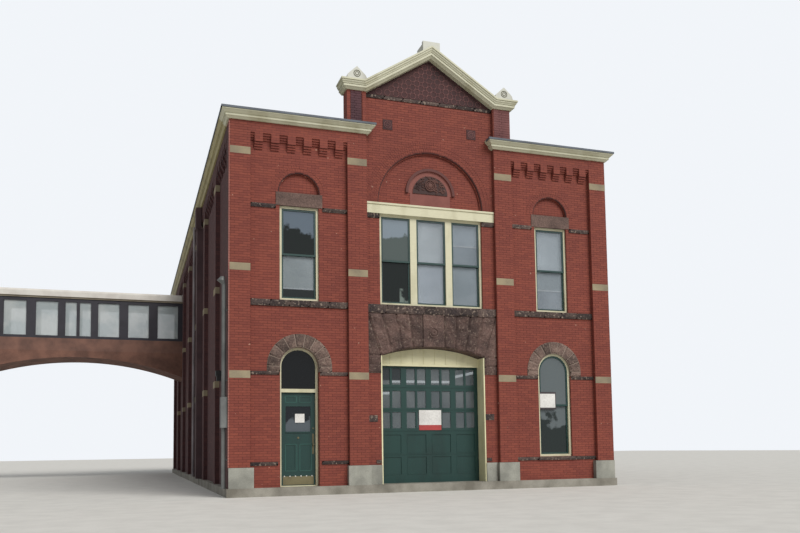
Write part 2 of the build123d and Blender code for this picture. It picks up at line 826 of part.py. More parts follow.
def hinge_knuckle(side, foot):
    """Half of a butt hinge, its knuckle and its plate, on the frame (-1) or on the leaf (1)."""
    with BuildSketch(Plane.XY.offset(foot)) as knuckle:
        with Locations((hinge_x, hinge_y)):
            RegularPolygon(hinge_radius, pipe_sides)
    extrude(knuckle.sketch, amount=hinge_height)
    plate = sorted((hinge_x, hinge_x + side * hinge_leaf))
    block(plate, (door_y[1], door_y[1] + hinge_plate), (foot, foot + hinge_height))


with BuildPart() as door_frame:
    half_disc(door_x, spring_z, door_opening / 2, door_y)
    block((door_x - door_opening / 2, door_x + door_opening / 2), door_y, (floor_z, spring_z))
    door_clear = door_opening / 2 - frame_width
    door_clear_x = (door_x - door_clear, door_x + door_clear)
    fan_z = leaf_top + door_gap + transom_height
    half_disc(door_x, spring_z, door_clear, door_y, Mode.SUBTRACT)
    block(door_clear_x, door_y, (fan_z, spring_z), Mode.SUBTRACT)
    block(door_clear_x, door_y, (floor_z + threshold, leaf_top + door_gap), Mode.SUBTRACT)
    for rise in hinge_rises:
        hinge_knuckle(-1, floor_z + threshold + door_gap + rise)
write(door_frame, "door_frame")

# Window glass, one sheet in each sash, the fanlight over the door, and the rear windows.
with BuildPart() as window_glass:
    for y, foot, head in (
        (upper_y, meeting_z + sash_width / 2, light_z[1] - sash_width),
        (lower_y, light_z[0] + sash_width, meeting_z - sash_width / 2),
    ):
        middle = (y[0] + y[1]) / 2
        for centre, width in lights:
            clear = width / 2 - sash_width
            block((centre - clear, centre + clear), (middle - glass / 2, middle + glass / 2), (foot, head))
    pane_y = (upper_y[0] + pane_set_in, upper_y[0] + pane_set_in + glass)
    half_disc(arch_x, spring_z, inner_arch, pane_y)
    block(arch_span, pane_y, (arch_meeting_z + sash_width / 2, spring_z))
    pane_y = (lower_y[0] + pane_set_in, lower_y[0] + pane_set_in + glass)
    block(arch_span, pane_y, (arch_low_z[0] + sash_width, arch_low_z[1] - sash_width))
    fan_y = (door_y[0] + fan_set_in, door_y[0] + fan_set_in + glass)
    half_disc(door_x, spring_z, door_clear, fan_y)
    block(door_clear_x, fan_y, (fan_z, spring_z))
    rear_middle = (rear_frame_y[0] + rear_frame_y[1]) / 2
    for x, z in rear_lights:
        block(x, (rear_middle - glass / 2, rear_middle + glass / 2), z)
write(window_glass, "window_glass")

# Front door leaf, hinged on the left and opening inwards.
leaf_x = (door_x - door_clear + door_gap, door_x + door_clear - door_gap)
leaf_z = (leaf_top - door_height, leaf_top)
leaf_y = (door_y[1] - door_thickness, door_y[1])
pane_x = (leaf_x[0] + leaf_glass[0], leaf_x[1] - leaf_glass[0])
pane_z = (leaf_z[0] + leaf_glass[1], leaf_z[0] + leaf_glass[2])
with BuildPart() as entry_door:
    block(leaf_x, leaf_y, leaf_z)
    block(pane_x, leaf_y, pane_z, Mode.SUBTRACT)
    for low, high in leaf_panels:
        for side in (-1, 1):
            middle = side * (leaf_panel[0] + leaf_panel[1]) / 2 + door_x
            half = (leaf_panel[1] - leaf_panel[0]) / 2
            sunk_y = (leaf_y[0], leaf_y[0] + leaf_panel_depth)
            block((middle - half, middle + half), sunk_y, (leaf_z[0] + low, leaf_z[0] + high), Mode.SUBTRACT)
    block(pane_x, (leaf_y[0] - glass_ledge[1], leaf_y[0]), (pane_z[0] - glass_ledge[0], pane_z[0]))
    for rise in hinge_rises:
        hinge_knuckle(1, leaf_z[0] + rise + hinge_height + hinge_gap)
write(entry_door, "entry_door")

with BuildPart() as door_glass:
    block(pane_x, (leaf_y[0] + pane_set_in, leaf_y[0] + pane_set_in + glass), pane_z)
write(door_glass, "door_glass")

# Door furniture, a kick plate, a push plate with its knob, a lock above it, and a knocker.
with BuildPart() as door_hardware:
    inset, low, high, proud = kick_plate
    plate_x = (leaf_x[0] + inset, leaf_x[1] - inset)
    block(plate_x, (leaf_y[0] - proud, leaf_y[0]), (leaf_z[0] + low, leaf_z[0] + high))
    near, far, low, high, proud = push_plate
    plate_y = (leaf_y[0] - proud, leaf_y[0])
    block((leaf_x[1] - far, leaf_x[1] - near), plate_y, (leaf_z[0] + low, leaf_z[0] + high))
    for x, (rise, radius, proud), back in (
        (leaf_x[1] - knob[0], knob[1:], plate_y[0]),
        (leaf_x[1] - lock[0], lock[1:], leaf_y[0]),
        (door_x, knocker, leaf_y[0]),
    ):
        disc(x, leaf_z[0] + rise, radius, (back - proud, back), sides=pipe_sides)
write(door_hardware, "door_hardware")

# Apparatus opening, its painted jamb linings and the battened board under the arch.
half_garage = garage_opening / 2
with BuildPart() as garage_frame:
    for side in (-1, 1):
        block(mirrored(side, half_garage - jamb_lining, half_garage), (recess, inner), (floor_z, garage_z))
    board_y = (inner - board_set_in, inner - board_set_in + board_thickness)
    board_half = half_garage - jamb_lining
    board_z = floor_z + board_rise
    segment(0, garage_z, board_half, garage_rise - board_gap, board_y, board_z)
    rail_y = (board_y[0] - board_rail[1], board_y[0])
    block((-board_half, board_half), rail_y, (board_z, board_z + board_rail[0]))
    groove_z = (board_z + board_rail[0], garage_z + garage_rise)
    for board in range(1, boards):
        middle = -board_half + 2 * board_half * board / boards
        groove = (middle - joint / 2, middle + joint / 2)
        block(groove, (board_y[0], board_y[0] + joint), groove_z, Mode.SUBTRACT)
write(garage_frame, "garage_frame")

# Sectional overhead door behind the wall, with three rows of lights over two of panels.
door_back = (inner + garage_gap, inner + garage_gap + garage_thickness)
door_half = half_garage + garage_lap
columns = [garage_column * (column + 0.5 - garage_columns / 2) for column in range(garage_columns)]
light_centre = (garage_light + garage_bar) / 2
lights_x = [
    (middle + half * light_centre - garage_light / 2, middle + half * light_centre + garage_light / 2)
    for middle in columns
    for half in (-1, 1)
]
with BuildPart() as garage_door:
    block((-door_half, door_half), door_back, (floor_z, floor_z + garage_top_rise))
    for low, high in garage_lights:
        for x in lights_x:
            block(x, door_back, (floor_z + low, floor_z + high), Mode.SUBTRACT)
    sunk = (door_back[0], door_back[0] + garage_panel_depth)
    for low, high in garage_panels:
        for middle in columns:
            half = garage_light + garage_bar / 2
            block((middle - half, middle + half), sunk, (floor_z + low, floor_z + high), Mode.SUBTRACT)
    for rise in garage_joints:
        line_z = (floor_z + rise - joint / 2, floor_z + rise + joint / 2)
        block((-door_half, door_half), (door_back[0], door_back[0] + joint), line_z, Mode.SUBTRACT)
write(garage_door, "garage_door")

with BuildPart() as garage_glass:
    pane_y = (door_back[0] + pane_set_in, door_back[0] + pane_set_in + glass)
    for low, high in garage_lights:
        for x in lights_x:
            block(x, pane_y, (floor_z + low, floor_z + high))
write(garage_glass, "garage_glass")

# Rainwater pipe, ventilation trunk, meter box, service mast and lamp on the left side wall.
wall_face = -half_width
bay_face = recess - half_width


def ring_at(x, y, z, radius):
    """The level outline of a round pipe or hood at one height."""
    with BuildSketch(Plane.XY.offset(z)) as ring:
        with Locations((x, y)):
            RegularPolygon(radius, pipe_sides)
    return ring.sketch


pipe_x = wall_face - band_proud - pipe_stand_off - pipe / 2
pipe_y = side_strips[2] + pipe_set_in
with BuildPart() as rainwater_pipe:
    extrude(ring_at(pipe_x, pipe_y, floor_z, pipe / 2), amount=cornice_z - floor_z)
    for rise in band_levels:
        clip_z = (floor_z + rise - mast_clip, floor_z + rise)
        block((pipe_x, wall_face), (pipe_y - pipe / 2, pipe_y + pipe / 2), clip_z)
write(rainwater_pipe, "rainwater_pipe")

trunk_y = side_strips[1] + pilaster + trunk_set_in
with BuildPart() as wall_trunk:
    trunk_z = floor_z + trunk_rise
    block((wall_face - trunk[1], bay_face), (trunk_y, trunk_y + trunk[0]), (floor_z, trunk_z))
    spread = (trunk_head[0] - trunk[0]) / 2
    head_y = (trunk_y - spread, trunk_y + trunk[0] + spread)
    block((wall_face - trunk_head[1], wall_face - trunk_head[2]), head_y, (trunk_z, cornice_z))
write(wall_trunk, "wall_trunk")

mast_x = wall_face - mast_stand_off - mast / 2
with BuildPart() as service_mast:
    extrude(ring_at(mast_x, mast_y, floor_z, mast / 2), amount=mast_rise)
    for rise in mast_clips:
        clip_y = (mast_y - mast_clip / 2, mast_y + mast_clip / 2)
        block((mast_x, wall_face), clip_y, (floor_z + rise, floor_z + rise + mast_clip))
    meter_y = (mast_y - meter[0] / 2, mast_y + meter[0] / 2)
    block((wall_face - meter[1], wall_face), meter_y, (floor_z + meter_rise, floor_z + meter_rise + meter[2]))
    radius, lean, rise = mast_hood
    mast_top = floor_z + mast_rise
    neck = ring_at(mast_x, mast_y, mast_top, mast / 2)
    rim = ring_at(mast_x - lean, mast_y, mast_top + rise, radius)
    crown = ring_at(mast_x - lean / 2, mast_y, mast_top + 2 * rise, radius / 2)
    loft(sections=[neck, rim, crown], ruled=True)
write(service_mast, "service_mast")

with BuildPart() as side_lamp:
    lamp_x = (wall_face - lamp_stand_off - lamp[1], wall_face - lamp_stand_off)
    lamp_z = (floor_z + lamp_rise, floor_z + lamp_rise + lamp[2])
    block(lamp_x, (lamp_y, lamp_y + lamp[0]), lamp_z)
    centre_x = (lamp_x[0] + lamp_x[1]) / 2
    centre_y = lamp_y + lamp[0] / 2
    lens_x = (centre_x - lamp_lens[1] / 2, centre_x + lamp_lens[1] / 2)
    lens_y = (centre_y - lamp_lens[0] / 2, centre_y + lamp_lens[0] / 2)
    block(lens_x, lens_y, (lamp_z[0] - lamp_lens[2], lamp_z[0]))
    arm_y = (centre_y - lamp_arm / 2, centre_y + lamp_arm / 2)
    block((lamp_x[1], bay_face), arm_y, (lamp_z[1] - lamp_arm, lamp_z[1]))
write(side_lamp, "side_lamp")

# Footbridge, an arched deck with glazed sides and a flat roof, seven bays long.
bridge_x1 = bay_face
bridge_length = bridge_bays * bridge_pitch + 2 * bridge_end
bridge_x0 = bridge_x1 - bridge_length
bridge_y = (bridge_front, bridge_front + bridge_width)
bridge_mid = (bridge_x0 + bridge_x1) / 2
with BuildPart() as bridge_deck:
    block((bridge_x0, bridge_x1), bridge_y, (bridge_spring, bridge_floor_z))
    half_span = bridge_length / 2
    arch_rise = bridge_crown - bridge_spring
    segment(bridge_mid, bridge_spring, half_span, arch_rise, bridge_y, bridge_spring - joint, Mode.SUBTRACT)
write(bridge_deck, "footbridge_deck")

opening_width = bridge_pitch - bridge_post
bridge_panes = []
for bay in range(bridge_bays):
    middle = bridge_mid + bridge_pitch * (bay + 0.5 - bridge_bays / 2)
    if bay == bridge_bays // 2:
        for half in (-1, 1):
            centre = middle + half * (bridge_middle_bar + bridge_middle_light) / 2
            bridge_panes.append((centre - bridge_middle_light / 2, centre + bridge_middle_light / 2))
    else:
        bridge_panes.append((middle - opening_width / 2, middle + opening_width / 2))
with BuildPart() as bridge_sides:
    for start in (bridge_y[0], bridge_y[1] - bridge_wall):
        y = (start, start + bridge_wall)
        block((bridge_x0, bridge_x1), y, (bridge_floor_z, bridge_roof_foot))
        for x in bridge_panes:
            block(x, y, (bridge_sill, bridge_head), Mode.SUBTRACT)
write(bridge_sides, "footbridge_walls")

with BuildPart() as bridge_glass:
    for start in (bridge_y[0], bridge_y[1] - bridge_wall):
        middle = start + bridge_wall / 2
        for x in bridge_panes:
            block(x, (middle - glass / 2, middle + glass / 2), (bridge_sill, bridge_head))
write(bridge_glass, "footbridge_glass")

# The bridge roof, a rounded fascia on a narrower trim, stopped against the wall strips.
fascia_z = bridge_roof_foot + bridge_fascia[0]
with BuildPart() as bridge_top:
    y = (bridge_y[0] - bridge_eaves, bridge_y[1] + bridge_eaves)
    block((bridge_x0 - bridge_eaves, wall_face - band_proud), y, (fascia_z, fascia_z + bridge_fascia[1]))
    fillet(bridge_top.edges().filter_by(Axis.X).group_by(Axis.Z)[-1], bridge_fascia_radius)
    block((bridge_x0, bridge_x1), bridge_y, (fascia_z, fascia_z + bridge_fascia[1]))
    trim_y = (bridge_y[0] - bridge_trim, bridge_y[1] + bridge_trim)
    block((bridge_x0 - bridge_trim, wall_face - band_proud), trim_y, (bridge_roof_foot, fascia_z))
    block((bridge_x0, bridge_x1), bridge_y, (bridge_roof_foot, fascia_z))
write(bridge_top, "footbridge_roof")
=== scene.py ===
import math
import random

import bmesh
import bpy
from mathutils import Matrix, Vector, noise


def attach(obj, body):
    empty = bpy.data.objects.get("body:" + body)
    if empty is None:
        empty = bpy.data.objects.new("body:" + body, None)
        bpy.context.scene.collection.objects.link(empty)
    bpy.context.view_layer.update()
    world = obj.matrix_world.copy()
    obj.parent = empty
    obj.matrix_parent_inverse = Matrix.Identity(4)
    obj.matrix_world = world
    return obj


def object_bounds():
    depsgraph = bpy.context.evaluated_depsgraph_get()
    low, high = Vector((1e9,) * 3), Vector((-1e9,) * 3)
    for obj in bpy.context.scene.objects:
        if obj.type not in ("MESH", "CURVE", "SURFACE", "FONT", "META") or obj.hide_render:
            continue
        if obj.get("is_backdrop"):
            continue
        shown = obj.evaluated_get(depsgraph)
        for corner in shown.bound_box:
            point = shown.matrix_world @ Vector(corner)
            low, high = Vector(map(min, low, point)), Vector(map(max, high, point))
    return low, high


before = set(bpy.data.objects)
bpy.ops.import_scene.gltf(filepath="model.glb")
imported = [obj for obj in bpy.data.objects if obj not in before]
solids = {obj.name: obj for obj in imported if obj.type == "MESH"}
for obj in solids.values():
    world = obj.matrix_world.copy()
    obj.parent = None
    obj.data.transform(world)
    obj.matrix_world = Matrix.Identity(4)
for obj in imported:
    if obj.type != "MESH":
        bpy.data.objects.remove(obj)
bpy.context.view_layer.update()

# The foundation is a ring of poured concrete that carries the walls and shows as a low grey
# course all round. Its face is grey with cement and grit, and darker where rain splashes it.


def shade(red, green, blue, share=1.0):
    """A paint-card colour, 0 to 255 in each channel, as the linear values that a shader takes."""
    parts = [value / 255 for value in (red, green, blue)]
    linear = [part / 12.92 if part < 0.0405 else ((part + 0.055) / 1.055) ** 2.4 for part in parts]
    return (*(part * share for part in linear), 1.0)


def put(tree, kind, sockets, **settings):
    """Adds one shader or geometry node, sets it up, and fills or links its sockets.

    A colour is given as on a paint card, with the share of its light as a fourth part if it is
    to be dimmed.
    """
    made = tree.nodes.new(kind)
    for name, value in settings.items():
        setattr(made, name, value)
    for name, value in sockets.items():
        if isinstance(value, bpy.types.NodeSocket):
            tree.links.new(value, made.inputs[name])
        else:
            socket = made.inputs[name]
            socket.default_value = shade(*value) if socket.type == "RGBA" else value
    return made


def blank_finish(name, roughness, metallic=0.0):
    """A new finish with its shader, and the Object coordinates that its patterns follow."""
    finish = bpy.data.materials.new(name)
    finish.use_nodes = True
    tree = finish.node_tree
    shader = tree.nodes["Principled BSDF"]
    shader.inputs["Roughness"].default_value = roughness
    shader.inputs["Metallic"].default_value = metallic
    where = put(tree, "ShaderNodeTexCoord", {})
    return finish, tree, shader, where.outputs["Object"]


def cloud(tree, where, scale, detail=5.0, stretch=(1.0, 1.0, 1.0)):
    """Noise that varies over about one metre divided by scale, stretched along an axis."""
    placed = put(tree, "ShaderNodeMapping", {"Vector": where, "Scale": stretch})
    sockets = {"Vector": placed.outputs["Vector"], "Scale": scale, "Detail": detail}
    return put(tree, "ShaderNodeTexNoise", sockets).outputs["Fac"]


def between(tree, value, low, high, start=0.0, end=1.0):
    """A value stretched so that low becomes start and high becomes end, and held there beyond."""
    sockets = {"Value": value, "From Min": low, "From Max": high, "To Min": start, "To Max": end}
    return put(tree, "ShaderNodeMapRange", sockets).outputs["Result"]


def mixed(tree, share, first, second, blend="MIX"):
    """Two colours mixed by a share."""
    sockets = {"Fac": share, "Color1": first, "Color2": second}
    return put(tree, "ShaderNodeMixRGB", sockets, blend_type=blend).outputs["Color"]


def tinted(tree, coat, tint):
    """A colour made darker or lighter by a value about one."""
    return mixed(tree, 1.0, coat, tint, "MULTIPLY")


def coated(tree, shader, coat, height, depth):
    """Gives a finish its colour, and a height pattern that stands that many metres out of it."""
    tree.links.new(coat, shader.inputs["Base Color"])
    bump = put(tree, "ShaderNodeBump", {"Height": height, "Distance": depth, "Strength": 1.0})
    tree.links.new(bump.outputs["Normal"], shader.inputs["Normal"])


def weathered(name, base, stain, grain, depth, roughness=0.85, metallic=0.0, specks=0.12):
    """A one-colour finish with slow stains, fine specks and a grain that can be felt."""
    finish, tree, shader, where = blank_finish(name, roughness, metallic)
    slow = between(tree, cloud(tree, where, 1.7, 6.0), 0.38, 0.66)
    fine = cloud(tree, where, grain, 6.0)
    speck = between(tree, fine, 0.3, 0.7, 1.0 - specks, 1.0 + specks)
    coated(tree, shader, tinted(tree, mixed(tree, slow, base, stain), speck), fine, depth)
    return finish


def wear(finish, *names):
    """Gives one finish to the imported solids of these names."""
    for name in names:
        solids[name].data.materials.clear()
        solids[name].data.materials.append(finish)


concrete = weathered("poured_concrete", (150, 146, 136), (112, 108, 98), 55.0, 0.004)
wear(concrete, "foundation")

# The walls are hard red pressed brick in running bond, laid with thin joints of red mortar.
# Every brick is a solid one laid on the wall, a few millimetres proud of its joints.

course = 0.067
brick_length = 0.213
joint = 0.007
brick_bed = 0.009
least_brick = 0.02
least_run = 0.03


def maths(tree, operation, *values):
    """The result of one sum on plain values or sockets."""
    return put(tree, "ShaderNodeMath", dict(enumerate(values)), operation=operation).outputs["Value"]


def axes(tree, where):
    """The X, Y and Z of a place, each as a socket."""
    return put(tree, "ShaderNodeSeparateXYZ", {"Vector": where}).outputs


def masonry_finish(name, warm, cool, mortar, chip):
    """Brick in running bond on any upright face, drawn on the same courses as the laid bricks."""
    finish, tree, shader, where = blank_finish(name, 0.82)
    place = axes(tree, where)
    facing = axes(tree, put(tree, "ShaderNodeTexCoord", {}).outputs["Normal"])
    on_side = between(tree, maths(tree, "ABSOLUTE", facing["X"]), 0.7, 0.71)
    along = put(tree, "ShaderNodeMix", {0: on_side, 2: place["X"], 3: place["Y"]})
    on_wall = put(tree, "ShaderNodeCombineXYZ", {"X": along.outputs[0], "Y": place["Z"]})
    tones = {"Color1": warm, "Color2": cool, "Mortar": mortar, "Mortar Smooth": 0.1}
    sizes = {"Mortar Size": joint / 2, "Brick Width": brick_length, "Row Height": course, "Scale": 1.0}
    bond = put(tree, "ShaderNodeTexBrick", {"Vector": on_wall.outputs["Vector"]} | tones | sizes)
    patch = between(tree, cloud(tree, where, 0.45, 3.0), 0.35, 0.68, 0.93, 1.06)
    grit = cloud(tree, where, 90.0, 4.0)
    gritty = between(tree, grit, 0.3, 0.7, 0.86, 1.12)
    coat = tinted(tree, tinted(tree, bond.outputs["Color"], patch), gritty)
    bare = between(tree, cloud(tree, where, 9.0, 2.0), 0.735, 0.75, 0.0, 0.65)
    raised = between(tree, bond.outputs["Fac"], 0.0, 1.0, 1.0, 0.0)
    height = maths(tree, "MULTIPLY_ADD", grit, 0.25, raised)
    coated(tree, shader, mixed(tree, bare, coat, chip), height, 0.002)
    return finish


brick = masonry_finish("red_pressed_brick", (134, 66, 51), (120, 56, 45), (90, 44, 38), (190, 150, 130))
wear(brick, "front_piers_lower", "front_window_apron", "front_spandrels")
wear(brick, "front_piers_upper", "front_wall_tops", "gable_wall")
# The side and rear walls take a darker copy of the brick. The darkness is soot and also painted shade, for
# the sides of the building that stand out of the light.
soot_shade_brown, soot_shade_black, soot_shade_mortar = (90, 54, 53), (75, 46, 47), (56, 37, 39)
shaded_brick = masonry_finish("soot_and_painted_shade_brick", soot_shade_brown, soot_shade_black, soot_shade_mortar, (120, 92, 88))
wear(shaded_brick, "side_wall_left", "side_wall_right", "rear_wall")


def laying_tree():
    """Geometry nodes that set one block on every point, with that point's own size and turn."""
    tree = bpy.data.node_groups.new("laid_units", "GeometryNodeTree")
    kinds = {"Unit": "Object", "Finish": "Material", "Uneven Bed": "Float", "Seed": "Int"}
    for label, kind in ({"Geometry": "Geometry"} | kinds).items():
        tree.interface.new_socket(label, in_out="INPUT", socket_type="NodeSocket" + kind)
    tree.interface.new_socket("Geometry", in_out="OUTPUT", socket_type="NodeSocketGeometry")
    given = put(tree, "NodeGroupInput", {}).outputs
    unit = put(tree, "GeometryNodeObjectInfo", {"Object": given["Unit"]}).outputs["Geometry"]
    kept = "GeometryNodeInputNamedAttribute"
    size, turn = (
        put(tree, kept, {"Name": name}, data_type="FLOAT_VECTOR").outputs["Attribute"]
        for name in ("unit_size", "unit_turn")
    )
    draw = {2: maths(tree, "SUBTRACT", 1.0, given["Uneven Bed"]), 3: 1.0, "Seed": given["Seed"]}
    bed = put(tree, "FunctionNodeRandomValue", draw, data_type="FLOAT").outputs[1]
    depth = put(tree, "ShaderNodeCombineXYZ", {"X": 1.0, "Y": bed, "Z": 1.0}).outputs["Vector"]
    scale = put(tree, "ShaderNodeVectorMath", {0: size, 1: depth}, operation="MULTIPLY").outputs["Vector"]
    sockets = {"Points": given["Geometry"], "Instance": unit, "Rotation": turn, "Scale": scale}
    laid = put(tree, "GeometryNodeInstanceOnPoints", sockets).outputs["Instances"]
    real = put(tree, "GeometryNodeRealizeInstances", {"Geometry": laid}).outputs["Geometry"]
    dressed = put(tree, "GeometryNodeSetMaterial", {"Geometry": real, "Material": given["Finish"]})
    put(tree, "NodeGroupOutput", {"Geometry": dressed.outputs["Geometry"]})
    return tree


laid_units = laying_tree()


def closed(name, shape):
    """The mesh of a hand-made shape, with its faces turned outward."""
    bmesh.ops.recalc_face_normals(shape, faces=shape.faces)
    mesh = bpy.data.meshes.new(name)
    shape.to_mesh(mesh)
    shape.free()
    return mesh


cube = bmesh.new()
corners = [cube.verts.new((x, y, z)) for x in (-0.5, 0.5) for y in (-0.5, 0.5) for z in (-0.5, 0.5)]
for face in ((0, 1, 3, 2), (4, 6, 7, 5), (0, 4, 5, 1), (2, 3, 7, 6), (0, 2, 6, 4), (1, 5, 7, 3)):
    cube.faces.new([corners[number] for number in face])
plain_unit = bpy.data.objects.new("plain_unit", closed("plain_unit", cube))


def into_scene(name, data):
    """A new object in the scene, at the origin."""
    thing = bpy.data.objects.new(name, data)
    bpy.context.scene.collection.objects.link(thing)
    return thing


def lay(name, finish, places, body="building", uneven=0.0, seed=1):
    """One piece made of many like units, each given as its middle, its size and its turn."""
    mesh = bpy.data.meshes.new(name)
    mesh.from_pydata([middle for middle, size, turn in places], [], [])
    for key, index in (("unit_size", 1), ("unit_turn", 2)):
        values = mesh.attributes.new(key, "FLOAT_VECTOR", "POINT")
        values.data.foreach_set("vector", [value for place in places for value in place[index]])
    piece = into_scene(name, mesh)
    bpy.context.scene.collection.objects.link(plain_unit)
    nodes = piece.modifiers.new("laid_units", "NODES")
    nodes.node_group = laid_units
    values = {"Unit": plain_unit, "Finish": finish, "Uneven Bed": uneven, "Seed": seed}
    for socket in laid_units.interface.items_tree:
        if socket.in_out == "INPUT" and socket.name in values:
            nodes[socket.identifier] = values[socket.name]
    bpy.context.view_layer.update()
    built = bpy.data.meshes.new_from_object(piece.evaluated_get(bpy.context.evaluated_depsgraph_get()))
    piece.modifiers.clear()
    piece.data = built
    bpy.context.scene.collection.objects.unlink(plain_unit)
    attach(piece, body)


def square_hole(low, high, foot, head):
    """An opening with upright sides, as the stretch that it takes from a course at z."""
    return lambda z: (low, high) if foot < z < head else None


def arched_hole(middle, half, spring, foot):
    """An opening with a round head, as the stretch that it takes from a course at z."""

    def taken(z):
        if not foot < z < spring + half:
            return None
        reach = half if z < spring else math.sqrt(half * half - (z - spring) ** 2)
        return middle - reach, middle + reach

    return taken


def left_over(start, end, taken):
    """The stretches of a course that its openings leave."""
    runs = [(start, end)]
    for low, high in filter(None, taken):
        cut = [(a, min(b, low)) for a, b in runs] + [(max(a, high), b) for a, b in runs]
        runs = [(a, b) for a, b in cut if b - a > least_run]
    return runs


flat = (0.0, 0.0, 0.0)
quarter = (0.0, 0.0, math.pi / 2)


def facing_street(depth, centre=0.0):
    """Sets a unit on a wall face that looks at the street from that depth."""
    return (lambda along, height: (centre + along, depth, height)), flat


def facing_side(distance):
    """Sets a unit on a wall face that looks sideways, at that distance from the middle."""
    return (lambda along, height: (distance, along, height)), quarter


def half_round(radius, foot):
    """Half the width of a half-round panel, from its height."""
    return lambda z: math.sqrt(max(0.0, radius**2 - (z - foot) ** 2))


def brick_places(start, end, foot, head, holes, face, reach=None):
    """Places of the bricks on one flat stretch of wall, in courses counted from the ground."""
    put_at, turn = face
    places = []
    for row in range(round(foot / course), int(head / course)):
        middle = (row + 0.5) * course
        shift = brick_length / 2 if row % 2 == 0 else 0.0
        span = (start, end) if reach is None else (max(start, -reach(middle)), min(end, reach(middle)))
        for low, high in left_over(*span, [hole(middle) for hole in holes]):
            first, last = math.floor((low + shift) / brick_length), math.ceil((high + shift) / brick_length)
            for number in range(first, last):
                near = max(low, number * brick_length - shift) + joint / 2
                far = min(high, (number + 1) * brick_length - shift) - joint / 2
                if far - near > least_brick:
                    size = (far - near, brick_bed, course - joint)
                    places.append((put_at((near + far) / 2, middle), size, turn))
    return places


half_width = 5.57
pilaster = 0.54
recess = 0.12
outer_pier = 2.44
inner_pier = 1.9
corner_pier = 5.03
bay_middle = (outer_pier + corner_pier) / 2
floor_level = 0.22
base_top = 0.734
spring = 3.32
ring_foot = 3.19
bay_sill_foot = 4.89
sill_level = 5.055
head_level = 7.565
name_top = 7.865
lintel_head = 7.92
window_half = 0.52
lintel_half = 0.621
blind_radius = 0.567
triple_half = 1.52
arch_half = 1.525
relieving_radius = 1.57
panel_set_back = 0.09
frieze_foot = 9.18
tooth_height = 0.23
cornice_level = 9.7
pier_level = 10.9
depth_back = 25.74
wall_thickness = 0.56
first_strip = 3.3
strip_pitch = 3.65
strips = [first_strip + strip_pitch * number for number in range(6)]

bay_holes = []
for side, outer_half, foot in ((-1, 0.855, 0), (1, 0.865, 0.88)):
    centre = side * bay_middle
    left, right = centre - outer_half + 0.34, centre + outer_half - 0.34
    bay_holes.append(arched_hole(centre, outer_half, spring, ring_foot))
    bay_holes.append(square_hole(left, right, foot, ring_foot))
    bay_holes.append(square_hole(centre - window_half, centre + window_half, bay_sill_foot, head_level))
    bay_holes.append(square_hole(centre - lintel_half, centre + lintel_half, head_level, lintel_head))
    bay_holes.append(arched_hole(centre, blind_radius, lintel_head, lintel_head))
for half, foot, head in (
    (arch_half, 0, ring_foot),
    (inner_pier, ring_foot, sill_level),
    (triple_half, sill_level, head_level),
    (inner_pier, head_level, name_top),
):
    bay_holes.append(square_hole(-half, half, foot, head))
bay_holes.append(arched_hole(0, relieving_radius, name_top, name_top))

pier_edges = (-half_width, -outer_pier, inner_pier, corner_pier)
recessed = facing_street(recess)
front_bricks = []
for start, end in ((-corner_pier, -outer_pier), (outer_pier, corner_pier)):
    front_bricks += brick_places(start, end, floor_level, frieze_foot - tooth_height, bay_holes, recessed)
front_bricks += brick_places(-inner_pier, inner_pier, floor_level, pier_level - 0.1, bay_holes, recessed)
for edge in pier_edges:
    front_bricks += brick_places(edge, edge + pilaster, base_top, cornice_level, [], facing_street(0.0))
lunette_level = 8.25
lunette_holes = [
    arched_hole(0, 0.732, lunette_level, lunette_level),
    square_hole(-0.6, 0.6, 7.8, lunette_level),
]
for centre, foot, radius, head, holes in (
    (0.0, name_top, 1.47, 9.37, lunette_holes),
    (-bay_middle, lintel_head, 0.5, 8.42, []),
    (bay_middle, lintel_head, 0.5, 8.42, []),
):
    panel = facing_street(recess + panel_set_back, centre)
    front_bricks += brick_places(-radius, radius, foot, head, holes, panel, half_round(radius, foot))
lay("front_brickwork", brick, front_bricks, uneven=0.35, seed=11)

bridge_box = square_hole(19.14, 21.54, 4.65, 8.64)
corbel_depths = (0.09, 0.06, 0.03)
corbel_step = 0.0575
tooth_pitch = 0.43
corbel_courses = []
for side, name in ((-1, "left_brickwork"), (1, "right_brickwork")):
    side_bricks = []
    holes = [bridge_box] if side < 0 else []
    outer_face = facing_side(side * half_width)
    bay_face = facing_side(side * (half_width - recess))
    faces = [(0.0, wall_thickness)] + [(start, start + pilaster) for start in strips]
    faces.append((depth_back - wall_thickness, depth_back))
    for start, end in faces:
        side_bricks += brick_places(start, end, floor_level, cornice_level, holes, outer_face)
    for (before, start), (end, after) in zip(faces, faces[1:]):
        side_bricks += brick_places(start, end, floor_level, frieze_foot - tooth_height, holes, bay_face)
        teeth = round((end - start) / tooth_pitch)
        pitch = (end - start) / teeth
        notches = [(start + pitch * number, frieze_foot + tooth_height) for number in range(teeth + 1)]
        hanging = [(start + pitch * (number + 0.5), frieze_foot) for number in range(teeth)]
        for middle, foot in notches + hanging:
            for number, depth in enumerate(corbel_depths):
                at = (side * (half_width - recess + depth / 2), middle, foot - corbel_step * (number + 0.5))
                corbel_courses.append((at, (pitch / 2, depth, corbel_step - joint), quarter))
    half_way = depth_back / 2
    for half, near, far in (("_street_half", -1.0, half_way), ("_yard_half", half_way, depth_back + 1.0)):
        laid = [place for place in side_bricks if near <= place[0][1] < far]
        lay(name + half, shaded_brick, laid, uneven=0.35, seed=12)
lay("side_corbel_courses", shaded_brick, corbel_courses)

